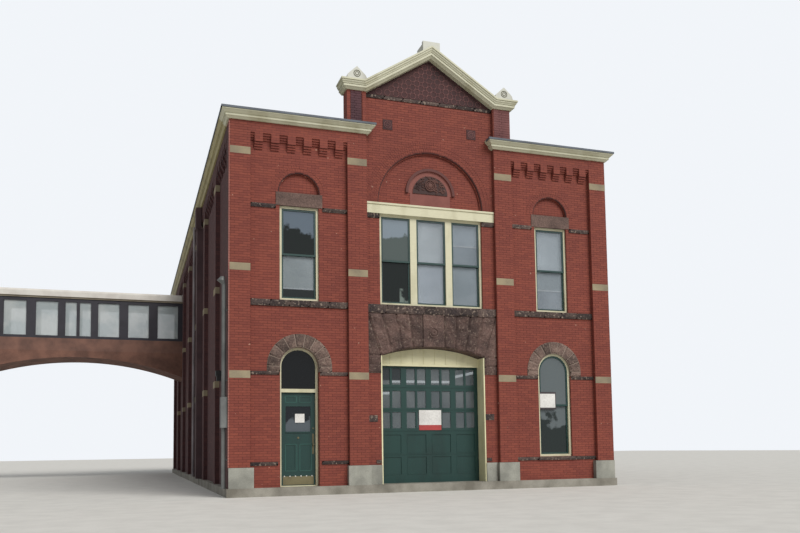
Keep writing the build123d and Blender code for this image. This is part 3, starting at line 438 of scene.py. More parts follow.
rear_holes = []
for centre in (-bay_middle, 0, bay_middle):
    for foot, head in ((1.32, 3.22), (sill_level, head_level)):
        rear_holes.append(square_hole(centre - window_half, centre + window_half, foot, head))
rear_bricks = []
rear_head = 9.41
rear_recess = facing_street(depth_back - recess)
for start, end in ((-corner_pier, -outer_pier), (-inner_pier, inner_pier), (outer_pier, corner_pier)):
    rear_bricks += brick_places(start, end, floor_level, rear_head, rear_holes, rear_recess)
rear_face = facing_street(depth_back)
for edge in pier_edges:
    rear_bricks += brick_places(edge, edge + pilaster, floor_level, cornice_level, [], rear_face)
lay("rear_brickwork", shaded_brick, rear_bricks, uneven=0.35, seed=13)

# Rowlock arches, rings of brick on end that turn round the blind arches and the large relieving
# arch of the gable. They are set a few millimetres proud of the wall, edge to edge.

ring_height = 0.105
ring_proud = 0.005
brick_arches = (
    (-bay_middle, lintel_head, blind_radius, 2),
    (bay_middle, lintel_head, blind_radius, 2),
    (0.0, name_top, relieving_radius, 3),
)
rings = []
for middle, foot, inside, layers in brick_arches:
    for layer in range(layers):
        radius = inside + layer * ring_height
        reach = radius + ring_height / 2
        count = round(math.pi * radius / course)
        size = (math.pi * reach / count - joint, brick_bed, ring_height - joint)
        for number in range(count):
            angle = math.pi * (number + 0.5) / count
            centre = (middle - reach * math.cos(angle), recess - ring_proud, foot + reach * math.sin(angle))
            rings.append((centre, size, (0.0, angle - math.pi / 2, 0.0)))
lay("rowlock_arches", brick, rings, uneven=0.2, seed=14)

# Moulded bricks, darker than the rest, make a round roll along the edge of each blind arch.
# Their dark is partly their own colour and partly painted shade along the arch edge. They are
# bonded into the wall beside the arch bricks.


def sweep_round(shape, middle, foot, radius, section, steps, first=0.0, last=2 * math.pi):
    """Sweeps a closed section, given as (outward, y) pairs, round an arc that faces the street."""
    full = abs(last - first) > 6.28
    turns = []
    for number in range(steps if full else steps + 1):
        angle = first + (last - first) * number / steps
        across, up = math.cos(angle), math.sin(angle)
        ring = [(middle + (radius + out) * across, y, foot + (radius + out) * up) for out, y in section]
        turns.append([shape.verts.new(corner) for corner in ring])
    pairs = list(zip(turns, turns[1:])) + ([(turns[-1], turns[0])] if full else [])
    count = len(section)
    for before, after in pairs:
        for number in range(count):
            other = (number + 1) % count
            shape.faces.new((before[number], before[other], after[other], after[number]))
    if not full:
        shape.faces.new(turns[0])
        shape.faces.new(turns[-1])


def finished(name, shape, finish):
    """Closes a hand-made shape into one piece of the building, with its finish."""
    mesh = closed(name, shape)
    mesh.materials.append(finish)
    piece = into_scene(name, mesh)
    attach(piece, "building")


def round_section(radius, y, sides=8):
    """A round section of that radius about the arc at depth y."""
    angles = [2 * math.pi * number / sides for number in range(sides)]
    return [(radius * math.cos(angle), y + radius * math.sin(angle)) for angle in angles]


moulded_brick = weathered("moulded_dark_brick", (80, 42, 38), (62, 34, 32), 60.0, 0.002, 0.8)
roll_inset = 0.012
rolls = bmesh.new()
for middle, foot, radius, _ in brick_arches:
    section = round_section(0.017, recess + roll_inset)
    sweep_round(rolls, middle, foot, radius - roll_inset, section, 48, 0.0, math.pi)
finished("arch_roll_mouldings", rolls, moulded_brick)

# The left front corner is built of small bricks, one to a course, in a paler pink that is a
# painted highlight down the corner. They stand almost two centimetres proud of the corner.

corner_painted_highlight = weathered("corner_painted_highlight_brick", (158, 104, 94), (138, 84, 76), 40.0, 0.002, 0.85)
corner_proud = 0.002
corner_bricks = []
for row in range(math.ceil(base_top / course), int(cornice_level / course)):
    middle = (-half_width - corner_proud, -corner_proud, (row + 0.5) * course)
    corner_bricks.append((middle, (0.03, 0.03, course - joint), flat))
lay("worn_corner_bricks", corner_painted_highlight, corner_bricks)

# Rough mauve facings of cut terracotta line the two short piers of the gable, in rows that
# break joint. The left pier's facing is a darker copy of the same facing, painted shade. A pale
# strip under the right pier is a painted highlight, for light thrown up by the flashing there.

pier_facing = weathered("mauve_pier_facing", (122, 76, 74), (102, 62, 62), 50.0, 0.004, 0.85)
shaded_pier_facing = weathered("pier_facing_painted_shade", (86, 54, 60), (70, 44, 50), 50.0, 0.004, 0.85)
facing_rows = range(13)
cornice_top = 9.96
facing_rise, facing_depth = 0.9, 0.04
facing_height = facing_rise / len(facing_rows)
for name, finish, left, right in (
    ("left_pier_facing", shaded_pier_facing, -2.34, -2.03),
    ("right_pier_facing", pier_facing, 1.93, 2.43),
):
    facings = []
    for row in facing_rows:
        split = 0.5 if row % 2 else 0.34
        for low, high in ((0.0, split), (split, 1.0)):
            middle = left + (right - left) * (low + high) / 2
            size = ((right - left) * (high - low) - joint, facing_depth, facing_height - joint)
            facings.append(((middle, 0.008, cornice_top + 0.025 + facing_height * (row + 0.5)), size, flat))
    lay(name, finish, facings, uneven=0.25, seed=15)
pier_foot_highlight = weathered("pier_foot_painted_highlight", (192, 158, 148), (150, 112, 104), 30.0, 0.003)
lay("right_pier_bedding", pier_foot_highlight, [((2.17, -0.004, 9.995), (0.546, 0.03, 0.05), flat)])

# Granite base stones stand under the pilasters and beside the apparatus door. They are sawn
# and pointed blocks of pale grey granite with a chamfered top arris.

granite = weathered("grey_granite", (158, 158, 148), (128, 128, 120), 160.0, 0.003, 0.8, specks=0.28)
wear(granite, "base_stones")

# Band stones are smooth blocks of pale sandstone let into the pilasters at three levels. Rain
# has left them grey and uneven.

sandstone = weathered("pale_sandstone", (156, 143, 116), (126, 115, 97), 120.0, 0.002, 0.85)
wear(sandstone, "band_stones")

# Brownstone makes the strings, sills, lintels, the voussoirs of the round arches and the long
# radiating stones over the apparatus door. The faces are left as they split in the quarry.


def stone_finish(name, base, stain, grain, depth, chips=0.0):
    """Split stone with slow stains, coarse specks and a tone of its own for every block."""
    finish, tree, shader, where = blank_finish(name, 0.9)
    slow = between(tree, cloud(tree, where, 2.6, 6.0), 0.38, 0.66)
    fine = cloud(tree, where, grain, 8.0)
    coat = tinted(tree, mixed(tree, slow, base, stain), between(tree, fine, 0.28, 0.72, 0.62, 1.4))
    tone = put(tree, "ShaderNodeAttribute", {}, attribute_name="stone_tone").outputs["Fac"]
    coat = tinted(tree, coat, between(tree, tone, -0.5, 0.5, 0.5, 1.5))
    fresh = between(tree, cloud(tree, where, 15.0, 5.0), 0.57, 0.66, 0.0, chips)
    coated(tree, shader, mixed(tree, fresh, coat, (168, 150, 134)), fine, depth)
    return finish


brownstone = stone_finish("split_brownstone", (102, 80, 73), (70, 54, 50), 34.0, 0.02, 0.3)
wear(brownstone, "garage_lintel")
wear(stone_finish("rubbed_brownstone", (108, 87, 79), (88, 70, 64), 34.0, 0.01), "lintel_and_sill_blocks")
sooty_stone = stone_finish("sooty_split_stone", (86, 72, 66), (50, 41, 41), 26.0, 0.025, 0.6)
wear(sooty_stone, "string_courses")
arch_stone = stone_finish("arch_split_stone", (116, 96, 87), (86, 70, 64), 30.0, 0.025, 0.25)
wear(weathered("pale_arch_mortar", (150, 134, 122), (120, 104, 94), 60.0, 0.002), "arch_rings")

street = Vector((0.0, -1.0, 0.0))
stone_bed = 0.02
rim = 0.16


def split_stone(stones, outline, bulge, cells, seed):
    """Adds one stone with a quarry-split face. outline(u, v) sets out its face on the wall."""
    across, up = cells
    tones = stones.verts.layers.float
    tone = tones.get("stone_tone") or tones.new("stone_tone")
    own_tone = random.Random(seed * 7 + 3).uniform(-0.4, 0.34)
    before = len(stones.verts)
    shift = Vector((seed * 3.7, seed * 1.3, seed * 2.1))
    grid = []
    for row in range(up + 1):
        for column in range(across + 1):
            u, v = column / across, row / up
            edge = min(1.0, min(u, 1 - u) * across * rim + 0.02, min(v, 1 - v) * up * rim + 0.02)
            edge = 0.0 if min(u, v, 1 - u, 1 - v) == 0 else max(edge, 0.45)
            at = outline(u, v)
            rough = 0.75 + noise.noise(at * 7.0 + shift) * 0.9 + noise.noise(at * 19.0 + shift) * 0.35
            grid.append(stones.verts.new(at + street * bulge * edge * rough))
    for row in range(up):
        for column in range(across):
            low = row * (across + 1) + column
            high = low + across + 1
            stones.faces.new((grid[low], grid[low + 1], grid[high + 1], grid[high]))
    rim_order = [(column, 0) for column in range(across)] + [(across, row) for row in range(up)]
    rim_order += [(across - column, up) for column in range(across)] + [(0, up - row) for row in range(up)]
    front = [grid[row * (across + 1) + column] for column, row in rim_order]
    sunk = [outline(column / across, row / up) - street * stone_bed for column, row in rim_order]
    back = [stones.verts.new(at) for at in sunk]
    for number in range(len(front)):
        after = (number + 1) % len(front)
        stones.faces.new((front[after], front[number], back[number], back[after]))
    stones.faces.new(back)
    stones.verts.ensure_lookup_table()
    for corner in stones.verts[before:]:
        corner[tone] = own_tone


def street_block(left, right, foot, head, depth):
    """Sets out a square stone on a face that looks at the street."""
    return lambda u, v: Vector((left + (right - left) * u, depth, foot + (head - foot) * v))


stone_face = recess - 0.02
gap = 0.006


def ring_block(middle, near, far, start, end):
    """Sets out a wedge stone of a round arch, between two radii and two angles."""

    def outline(u, v):
        angle = start + (end - start) * u
        reach = near + (far - near) * v
        return Vector((middle - reach * math.cos(angle), stone_face, spring + reach * math.sin(angle)))

    return outline


ring_halves = ((-1, 0.515), (1, 0.525))
ring_depth = 0.335
ring_stones = 9

arch_stones = bmesh.new()
for side, half in ring_halves:
    middle = side * bay_middle
    trim = gap / half
    for number in range(ring_stones):
        start, end = (math.pi * edge / ring_stones for edge in (number, number + 1))
        outline = ring_block(middle, half + 0.004, half + ring_depth, start + trim, end - trim)
        split_stone(arch_stones, outline, 0.045, (7, 7), number + 20 * side)
    for edge in (-1, 1):
        near, far = sorted((edge * half, edge * (half + ring_depth)))
        outline = street_block(middle + near, middle + far, ring_foot, spring - gap, stone_face)
        split_stone(arch_stones, outline, 0.045, (7, 3), 40 + side + edge)
finished("round_arch_stones", arch_stones, arch_stone)

lintel_stones = bmesh.new()
lintel_top = sill_level - 0.235
arch_spring, arch_rise = 3.67, 0.27
arch_radius = (arch_half**2 + arch_rise**2) / (2 * arch_rise)
arch_centre = arch_spring + arch_rise - arch_radius


def arch_underside(x):
    """Height of the flat arch's underside at x, or the foot of its end stones."""
    return arch_centre + math.sqrt(arch_radius**2 - x * x) if abs(x) < arch_half else ring_foot


def long_stone(low_left, low_right, top_left, top_right):
    """Sets out a long radiating stone, from the curved underside up to the level top."""

    def outline(u, v):
        foot_x = low_left + (low_right - low_left) * u
        top_x = top_left + (top_right - top_left) * u
        foot = arch_underside(max(-arch_half + 0.001, min(arch_half - 0.001, foot_x)))
        return Vector((foot_x + (top_x - foot_x) * v, stone_face, foot + (lintel_top - 0.005 - foot) * v))

    return outline


lintel_feet = (0.31, 0.614, 0.917, 1.22, arch_half)
lintel_heads = (0.31, 0.70, 1.10, 1.50, inner_pier)
for side in (-1, 1):
    for number in range(len(lintel_feet) - 1):
        lows = sorted((side * (lintel_feet[number] + gap), side * (lintel_feet[number + 1] - gap)))
        tops = sorted((side * (lintel_heads[number] + gap), side * (lintel_heads[number + 1] - gap)))
        split_stone(lintel_stones, long_stone(*lows, *tops), 0.085, (7, 26), number + 5 * (side + 1))
end_levels = (ring_foot, 3.42, 3.66)


def end_wedge(side):
    """Sets out the end stone beside the long ones, which narrows to nothing at the level top."""

    def outline(u, v):
        inward = (1 - v) * ((1 - u) if side > 0 else u)
        height = end_levels[2] + gap + (lintel_top - end_levels[2] - 2 * gap) * v
        return Vector((side * inner_pier - side * (inner_pier - arch_half) * inward, stone_face, height))

    return outline


for side in (-1, 1):
    left, right = sorted((side * (arch_half + 0.002), side * inner_pier))
    for layer in range(2):
        outline = street_block(left, right, end_levels[layer] + gap, end_levels[layer + 1], stone_face)
        split_stone(lintel_stones, outline, 0.05, (7, 5), 60 + layer + side)
    split_stone(lintel_stones, end_wedge(side), 0.05, (7, 20), 70 + side)
finished("apparatus_lintel_stones", lintel_stones, brownstone)

# The keystone is brownstone dressed smooth, with a plain round boss and a raised ring cut
# from the same block.

keystone = bmesh.new()
boss_height = 4.33
key_face = recess - 0.045
for radius, section in ((0.13, round_section(0.022, key_face)), (0.05, round_section(0.05, key_face + 0.02))):
    sweep_round(keystone, 0.0, boss_height, radius, section, 32)
finished("keystone_boss", keystone, brownstone)

# String courses and sills are runs of split brownstone, in blocks about half a metre long that
# are built into the wall and stand a little proud of it. Soot has blackened them.

course_stones = bmesh.new()
sill_face = recess - 0.045
string_face = recess - 0.025
bed_gap = 0.003


def split_course(left, right, foot, head, depth, bulge, seed):
    """A run of split stones end to end, each about half a metre long."""
    count = max(1, round((right - left) / 0.55))
    cells = (max(4, round((right - left) / count / 0.06)), max(2, round((head - foot) / 0.05)))
    for number in range(count):
        start = left + (right - left) * number / count + bed_gap
        end = left + (right - left) * (number + 1) / count - bed_gap
        outline = street_block(start, end, foot + bed_gap, head - bed_gap, depth)
        split_stone(course_stones, outline, bulge, cells, seed + number)


split_course(-inner_pier, inner_pier, lintel_top, sill_level, sill_face, 0.05, 1)
for side, half in ring_halves:
    for near, far, foot, head, depth in (
        (outer_pier, bay_middle - half - 0.06, 0.775, 0.865, string_face),
        (bay_middle + half + 0.06, corner_pier, 0.775, 0.865, string_face),
        (outer_pier, bay_middle - half - 0.02, 3.10, ring_foot, string_face),
        (bay_middle + half + 0.02, corner_pier, 3.10, ring_foot, string_face),
        (outer_pier, bay_middle - lintel_half, 7.47, 7.58, string_face),
        (bay_middle + lintel_half, corner_pier, 7.47, 7.58, string_face),
        (triple_half, inner_pier, 7.435, head_level, string_face),
        (outer_pier, corner_pier, bay_sill_foot, sill_level, sill_face),
    ):
        left, right = sorted((side * near, side * far))
        split_course(left, right, foot, head, depth, 0.035, round(near * 10 + foot * 7) + side)
split_course(-inner_pier, inner_pier, 10.805, pier_level, string_face, 0.03, 91)
split_course(bay_middle - 0.58, bay_middle + 0.6, 0.77, 0.876, sill_face, 0.04, 97)
finished("split_stone_courses", course_stones, sooty_stone)

# The name lintel, the cornices, the raking cornice and its acroteria are wood and sheet metal
# under many coats of cream oil paint, which is dull now and greyer where water runs.


def painted(name, coat, dirt, roughness=0.45):
    """Oil paint on wood or sheet metal, with brush marks along it and dirt in slow streaks."""
    finish, tree, shader, where = blank_finish(name, roughness)
    runs = between(tree, cloud(tree, where, 2.2, 7.0, (1.0, 1.0, 0.35)), 0.5, 0.78)
    brushed = cloud(tree, where, 60.0, 3.0, (0.15, 0.15, 1.0))
    colour = tinted(tree, mixed(tree, runs, coat, dirt), between(tree, brushed, 0.3, 0.7, 0.95, 1.04))
    coated(tree, shader, colour, brushed, 0.0006)
    return finish


cream = painted("cream_oil_paint", (206, 202, 172), (176, 170, 138))
wear(cream, "name_lintel", "cornice_rear")
cornice_paint = painted("cornice_paint", (196, 194, 168), (170, 166, 136))
wear(cornice_paint, "cornices_front", "raking_cornice")
# The side cornices take a darker olive copy of the paint: weathering, and painted shade, since the sides
# stand out of the light.
wear(painted("side_paint_weathered_and_shaded", (162, 152, 106), (124, 114, 80)), "cornices_side")
wear(painted("chalky_white_paint", (196, 196, 184), (150, 148, 136)), "acroteria")

# A blue-grey sheet-metal flashing caps the level cornices and the parapets behind them. It
# is bent down over their edge.

flashing = weathered("blue_grey_flashing", (88, 96, 106), (70, 76, 84), 30.0, 0.001, 0.55)
cornice_edge = half_width + 0.22
cap_level, cap_height, cap_width = 9.94, 0.054, 0.6
caps = []
for side in (-1, 1):
    front_cap = (side * (cornice_edge + 1.68) / 2, -0.10, cap_level)
    side_cap = (side * (cornice_edge - 0.295), depth_back / 2, cap_level)
    caps.append((front_cap, (cornice_edge - 1.67, 0.25, cap_height), flat))
    caps.append((side_cap, (cap_width, depth_back + 0.43, cap_height), flat))
rear_cap = (0.0, depth_back - 0.08, cap_level)
caps.append((rear_cap, (2 * cornice_edge - 2 * cap_width, cap_width, cap_height), flat))
lay("cornice_flashings", flashing, caps)

# Each end block of the gable carries a roundel of two rings, turned in wood and planted on
# its street face. The rings are painted darker than the block, as painted shade in their hollows.

roundels = bmesh.new()
roundel_face = -0.172
for side in (-1, 1):
    for radius, roll in ((0.088, 0.014), (0.045, 0.012)):
        sweep_round(roundels, side * 2.195, 11.30, radius, round_section(roll, roundel_face), 20)
shadow_paint = weathered("roundel_painted_shade", (120, 118, 100), (96, 94, 80), 50.0, 0.001)
finished("acroterion_roundels", roundels, shadow_paint)

# Terracotta fills the tympanum, the small plaques and the half-round panel over the name
# lintel. It is unglazed, moulded in relief and fired to a dark red brown.

terracotta = weathered("dark_terracotta", (68, 38, 38), (52, 29, 31), 70.0, 0.002, 0.8)
wear(terracotta, "tympanum_panel", "terracotta_plaques")


def ringed_clay():
    """The half-round panel: a dark ground, then a smooth pinkish ring, then a dark label."""
    finish, tree, shader, where = blank_finish("lunette_terracotta", 0.75)
    place = axes(tree, where)
    rise = maths(tree, "SUBTRACT", place["Z"], lunette_level)
    on_wall = put(tree, "ShaderNodeCombineXYZ", {"X": place["X"], "Y": rise}).outputs["Vector"]
    out = put(tree, "ShaderNodeVectorMath", {0: on_wall}, operation="LENGTH").outputs["Value"]
    coat = mixed(tree, between(tree, out, 0.512, 0.522), (60, 38, 35), (130, 76, 67))
    coat = mixed(tree, between(tree, out, 0.655, 0.66), coat, (94, 52, 47))
    grit = cloud(tree, where, 40.0, 5.0)
    coated(tree, shader, tinted(tree, coat, between(tree, grit, 0.3, 0.7, 0.78, 1.2)), grit, 0.004)
    return finish


wear(ringed_clay(), "lunette")
base_clay = weathered("smooth_pink_clay", (136, 80, 71), (118, 66, 58), 60.0, 0.001, 0.75)
lay("lunette_base", base_clay, [((0.0, 0.207, 8.058), (1.2, 0.02, 0.386), flat)])

# Moulded foliage fills the half-round panel round a medallion. Rosettes stand on the plaques,
# and staggered rings fill the tympanum.


def lump(shape, place, turn, size, rounds=1):
    """Adds a rounded lump of clay, turned on the wall's face and stretched to a size."""
    at = Matrix.Translation(place) @ Matrix.Rotation(turn, 4, "Y") @ Matrix.Diagonal((*size, 1.0))
    bmesh.ops.create_icosphere(shape, subdivisions=rounds, radius=1.0, matrix=at)


leaf_count = 120
chance = random.Random(21)
foliage = bmesh.new()
for number in range(leaf_count):
    turn = chance.uniform(0.03, 0.97) * math.pi
    out = math.sqrt(chance.uniform(0.13**2, 0.49**2))
    place = Vector((out * math.cos(turn), 0.176, lunette_level + 0.02 + out * math.sin(turn)))
    lump(foliage, place, chance.uniform(0, math.pi), (chance.uniform(0.03, 0.055), 0.022, 0.02))
medallion_level = lunette_level + 0.25
for radius, roll in ((0.15, 0.022), (0.1, 0.018)):
    sweep_round(foliage, 0.0, medallion_level, radius, round_section(roll, 0.165), 28)
lump(foliage, (0.0, 0.168, medallion_level), 0.0, (0.08, 0.035, 0.08), rounds=2)
carved_clay = weathered("sooty_carved_clay", (104, 70, 62), (58, 36, 34), 34.0, 0.003, 0.8, specks=0.3)
finished("lunette_foliage", foliage, carved_clay)

# The rosettes and the rings of the tympanum are in a paler clay than the ground behind them.
outline_clay = weathered("pale_terracotta_rings", (118, 78, 76), (92, 56, 56), 70.0, 0.002, 0.75)
rosettes = bmesh.new()
plaque_face = recess - 0.015
plaque_level = 10.09
petal_reach = 0.055
for side in (-1, 1):
    middle = side * 1.255
    sweep_round(rosettes, middle, plaque_level, 0.1, round_section(0.012, plaque_face), 20)
    for petal in range(8):
        turn = math.pi * petal / 4
        across, up = petal_reach * math.cos(turn), petal_reach * math.sin(turn)
        lump(rosettes, (middle + across, plaque_face, plaque_level + up), -turn, (0.034, 0.012, 0.016))
finished("plaque_rosettes", rosettes, outline_clay)

diaper = bmesh.new()
ring_pitch = 0.25
apex_level = 12.105
ring_face = recess - 0.006
gable_slope = (apex_level - pier_level - 0.015) / 1.877
for row in range(14):
    level = pier_level + 0.11 + row * ring_pitch / 2
    reach = (apex_level - level) / gable_slope - 0.2
    for column in range(-12, 13):
        middle = (column + (0.5 if row % 2 else 0.0)) * ring_pitch
        if abs(middle) < reach:
            section = round_section(0.009, ring_face, 6)
            sweep_round(diaper, middle, level, 0.088, section, 8, math.pi / 8, math.pi * 2.125)
finished("tympanum_diaper", diaper, outline_clay)

# The roof is a deck under felt with a gravel dressing. The upper floor is of plain boards,
# and the ground floor is poured concrete like the foundation.

wear(weathered("gravelled_felt", (96, 96, 94), (70, 70, 70), 120.0, 0.006, 0.95, specks=0.3), "roof_deck")
boards = weathered("plain_floor_boards", (120, 92, 66), (90, 70, 50), 40.0, 0.001, 0.6)
wear(boards, "upper_floor")
wear(concrete, "ground_floor")

# The windows have cream outer frames and dark green sashes of painted wood. Their panes are
# old drawn glass puttied into the sashes. The pale tones of the glass are painted reflection of
# the sky, and some street-side panes carry painted reflections of sky and trees or painted shade.

green = painted("green_oil_paint", (22, 58, 54), (17, 45, 42), 0.4)
wear(cream, "window_frames", "rear_window_frames", "door_frame")
wear(painted("yellowed_board_paint", (226, 221, 182), (200, 194, 152), 0.5), "garage_frame")
wear(green, "window_sashes", "entry_door", "garage_door")

full_cover = 0.93
soft_edge = 0.06


def within(tree, value, low, high):
    """One between two limits and nothing beyond them."""
    above = between(tree, value, low - 0.01, low + 0.01)
    below = between(tree, value, high - 0.01, high + 0.01, 1.0, 0.0)
    return maths(tree, "MULTIPLY", above, below)


def glazing(name, dark, light, cover, painted_reflections):
    """Sheet glass in tones of painted reflection. Listed panes get one tone above a ragged line and one
    below: painted sky, trees and shade.
    """
    finish, tree, shader, where = blank_finish(name, 0.05)
    patch = between(tree, cloud(tree, where, 1.1, 3.0), 0.42, 0.6)
    coat = mixed(tree, patch, dark, light)
    shader.inputs["Alpha"].default_value = cover
    strength = cover
    if painted_reflections:
        place = axes(tree, where)
        street_side = between(tree, place["Y"], 1.0, 1.1, 1.0, 0.0)
        ragged = between(tree, cloud(tree, where, 2.4, 7.0), 0.2, 0.8, -0.5, 0.5)
        edge = maths(tree, "ADD", place["Z"], ragged)
        for left, right, foot, head, level, above, below in painted_reflections:
            across, up = within(tree, place["X"], left, right), within(tree, place["Z"], foot, head)
            inside = maths(tree, "MULTIPLY", maths(tree, "MULTIPLY", across, up), street_side)
            tone = mixed(tree, between(tree, edge, level - soft_edge, level + soft_edge), below, above)
            coat = mixed(tree, inside, coat, tone)
            strength = maths(tree, "MULTIPLY_ADD", inside, full_cover - cover, strength)
        tree.links.new(strength, shader.inputs["Alpha"])
    tree.links.new(coat, shader.inputs["Base Color"])
    shader.inputs["IOR"].default_value = 1.6
    return finish


# Painted reflections of sky above a ragged line and trees below it fill the front panes. The fanlight and the
# door glass are painted near black, the shade of the unlit hall behind them, with a grey painted reflection
# low in the door glass.
reflection_and_shade_green, reflected_sky_blue, door_glass_shade = (24, 30, 28), (98, 110, 122), (24, 29, 34)
above_all = 9.0
window_painted_reflections = (
    (-4.26, -3.2, 6.28, 7.6, 6.95, reflected_sky_blue, reflection_and_shade_green),
    (-4.26, -3.2, 5.05, 5.38, above_all, reflected_sky_blue, (34, 40, 40)),
    (-1.53, -0.5, 6.28, 7.6, 6.98, (132, 144, 154), (84, 94, 92)),
    (-1.53, -0.5, 5.05, 6.28, above_all, reflected_sky_blue, reflection_and_shade_green),
    (-0.92, -0.5, 5.05, 5.55, 5.32, reflection_and_shade_green, (112, 124, 118)),
    (2.8, 4.6, 0.7, 4.2, 1.95, (98, 106, 108), (36, 44, 42)),
    (-4.5, -3.0, 2.6, 4.2, above_all, (60, 66, 70), (11, 13, 14)),
)
door_painted_reflections = ((-4.1, -3.3, 1.6, 2.35, 1.92, door_glass_shade, (86, 94, 100)),)
apparatus_painted_reflections = (
    (-1.56, -0.78, 3.04, 3.5, above_all, (90, 96, 100), (52, 58, 60)),
    (0.7, 0.83, 2.3, 2.78, above_all, (90, 96, 100), (46, 48, 48)),
)
for name, dark, light, cover, painted_reflections, panes in (
    ("old_window_glass", (146, 156, 164), (164, 174, 182), 0.38, window_painted_reflections, "window_glass"),
    ("front_door_glass", door_glass_shade, (40, 46, 50), 0.9, door_painted_reflections, "door_glass"),
    ("apparatus_door_glass", (100, 108, 112), (118, 125, 128), 0.62, apparatus_painted_reflections, "garage_glass"),
    ("bridge_glass", (196, 206, 208), (216, 222, 222), 0.45, (), "footbridge_glass"),
):
    wear(glazing(name, dark, light, cover, painted_reflections), panes)

# Roller blinds hang just inside the upper windows, some drawn halfway, each with a pale rail
# in its hem. Their tones are set pane by pane, mostly paler above and darker below, as painted
# light and shade on the cloth; the brightest are near white to make up for light the glass keeps off.

hem_paint = weathered("white_hem_rail", (226, 228, 230), (206, 208, 210), 30.0, 0.0003, 0.5)
blind_y, blind_depth = 0.305, 0.006
hem_y, hem_depth = blind_y - 0.012, 0.016
dusty = 0.86
hems = []
for name, tone, middle, width, foot, head in (
    ("centre_upper_blind", (246, 252, 255), 0.0, 0.80, 6.26, 7.46),
    ("centre_lower_blind", (214, 222, 234), 0.0, 0.80, 5.13, 6.26),
    ("right_upper_blind", (176, 190, 202), 1.05, 0.86, 6.86, 7.46),
    ("right_middle_blind", (130, 144, 156), 1.05, 0.86, 6.26, 6.86),
    ("right_lower_blind", (134, 150, 158), 1.05, 0.86, 5.13, 6.26),
    ("right_bay_upper_blind", (236, 246, 252), bay_middle, 0.98, 6.26, 7.46),
    ("right_bay_lower_blind", (176, 188, 192), bay_middle, 0.98, 5.72, 6.26),
    ("right_bay_dark_blind", (134, 142, 154), bay_middle, 0.98, 5.13, 5.72),
    ("left_bay_blind", (152, 160, 152), -bay_middle, 0.98, 5.4, 6.26),
):
    cloth = weathered(name + "_cloth", tone, (*tone, dusty), 20.0, 0.0005, 0.8)
    size = (width, blind_depth, head - foot)
    lay(name, cloth, [((middle, blind_y, (foot + head) / 2), size, flat)])
    if name in ("right_upper_blind", "right_bay_lower_blind", "left_bay_blind"):
        hems.append(((middle, hem_y, foot), (width - 0.06, hem_depth, 0.035), flat))
for middle in (-1.2, -0.16, 0.85):
    hems.append(((middle, hem_y, 5.15), (0.42, hem_depth, 0.03), flat))
lay("blind_hem_rails", hem_paint, hems)

# A small wooden bead is planted round each lower panel of the apparatus door, butted at the
# corners and painted with the door.

bead, bead_depth, bead_y = 0.014, 0.02, 0.574
beads = []
for column in (-1.1025, -0.3675, 0.3675, 1.1025):
    for low, high in ((0.445, 0.942), (1.025, 1.553)):
        for level in (low + bead / 2, high - bead / 2):
            beads.append(((column, bead_y, level), (0.57, bead_depth, bead), flat))
        for edge in (-0.28, 0.28):
            middle = (column + edge, bead_y, (low + high) / 2)
            beads.append((middle, (bead, bead_depth, high - low - 2 * bead), flat))
lay("apparatus_door_beads", green, beads)

# The front door has a planted bead round each of its panels: two squat ones over the glass and
# two tall ones below it. They are wood in the door's green, painted paler as a highlight along
# the panel edges.

door_bead, door_bead_depth, door_bead_y = 0.016, 0.012, 0.363
door_beads = []
for left, right in ((-4.075, -3.775), (-3.695, -3.395)):
    for low, high in ((2.405, 2.565), (0.62, 1.31)):
        for level in (low, high):
            middle = ((left + right) / 2, door_bead_y, level)
            door_beads.append((middle, (right - left, door_bead_depth, door_bead), flat))
        for edge in (left, right):
            middle = (edge, door_bead_y, (low + high) / 2)
            door_beads.append((middle, (door_bead, door_bead_depth, high - low), flat))
door_bead_highlight_green = painted("door_bead_highlight_green_paint", (48, 92, 84), (28, 64, 58), 0.4)
lay("front_door_beads", door_bead_highlight_green, door_beads, body="front_door")

# Tube lamps hang on thin steel rods from the ceiling of the apparatus room and show through
# the lights of its door. They are lit glass tubes.

tube_glow = weathered("lit_tube_lamp", (240, 244, 246), (236, 240, 244), 10.0, 0.0001, 0.5)
glow = tube_glow.node_tree.nodes["Principled BSDF"].inputs
glow["Emission Color"].default_value = (0.9, 0.96, 1.0, 1.0)
glow["Emission Strength"].default_value = 1.6
tube_width, tube_height = 0.08, 0.075
tubes = []
for middle, length, turn in (
    ((1.42, 5.0, 3.4), 2.1, flat),
    ((0.15, 5.0, 3.0), 0.33, flat),
    ((3.32, 5.7, 3.73), 1.9, quarter),
):
    tubes.append((middle, (length, tube_width, tube_height), turn))
lay("tube_lamps", tube_glow, tubes)
storey = solids["upper_floor"]
ceiling = min((storey.matrix_world @ Vector(corner)).z for corner in storey.bound_box)
rod, rod_share = 0.012, 0.35
rods = []
for (x, y, z), size, turn in tubes:
    for reach in (-rod_share * size[0], rod_share * size[0]):
        across, along = (0.0, reach) if turn == quarter else (reach, 0.0)
        rods.append(((x + across, y + along, (z + ceiling) / 2), (rod, rod, ceiling - z), flat))
rod_steel = weathered("lamp_rod_steel", (120, 122, 122), (96, 98, 98), 60.0, 0.0003, 0.5)
lay("tube_lamp_rods", rod_steel, rods)

# Bare painted plates are screwed on: a white one with a red foot on the apparatus door and a
# dark-edged one on the arched window. A blank sheet of paper is taped in the front door.

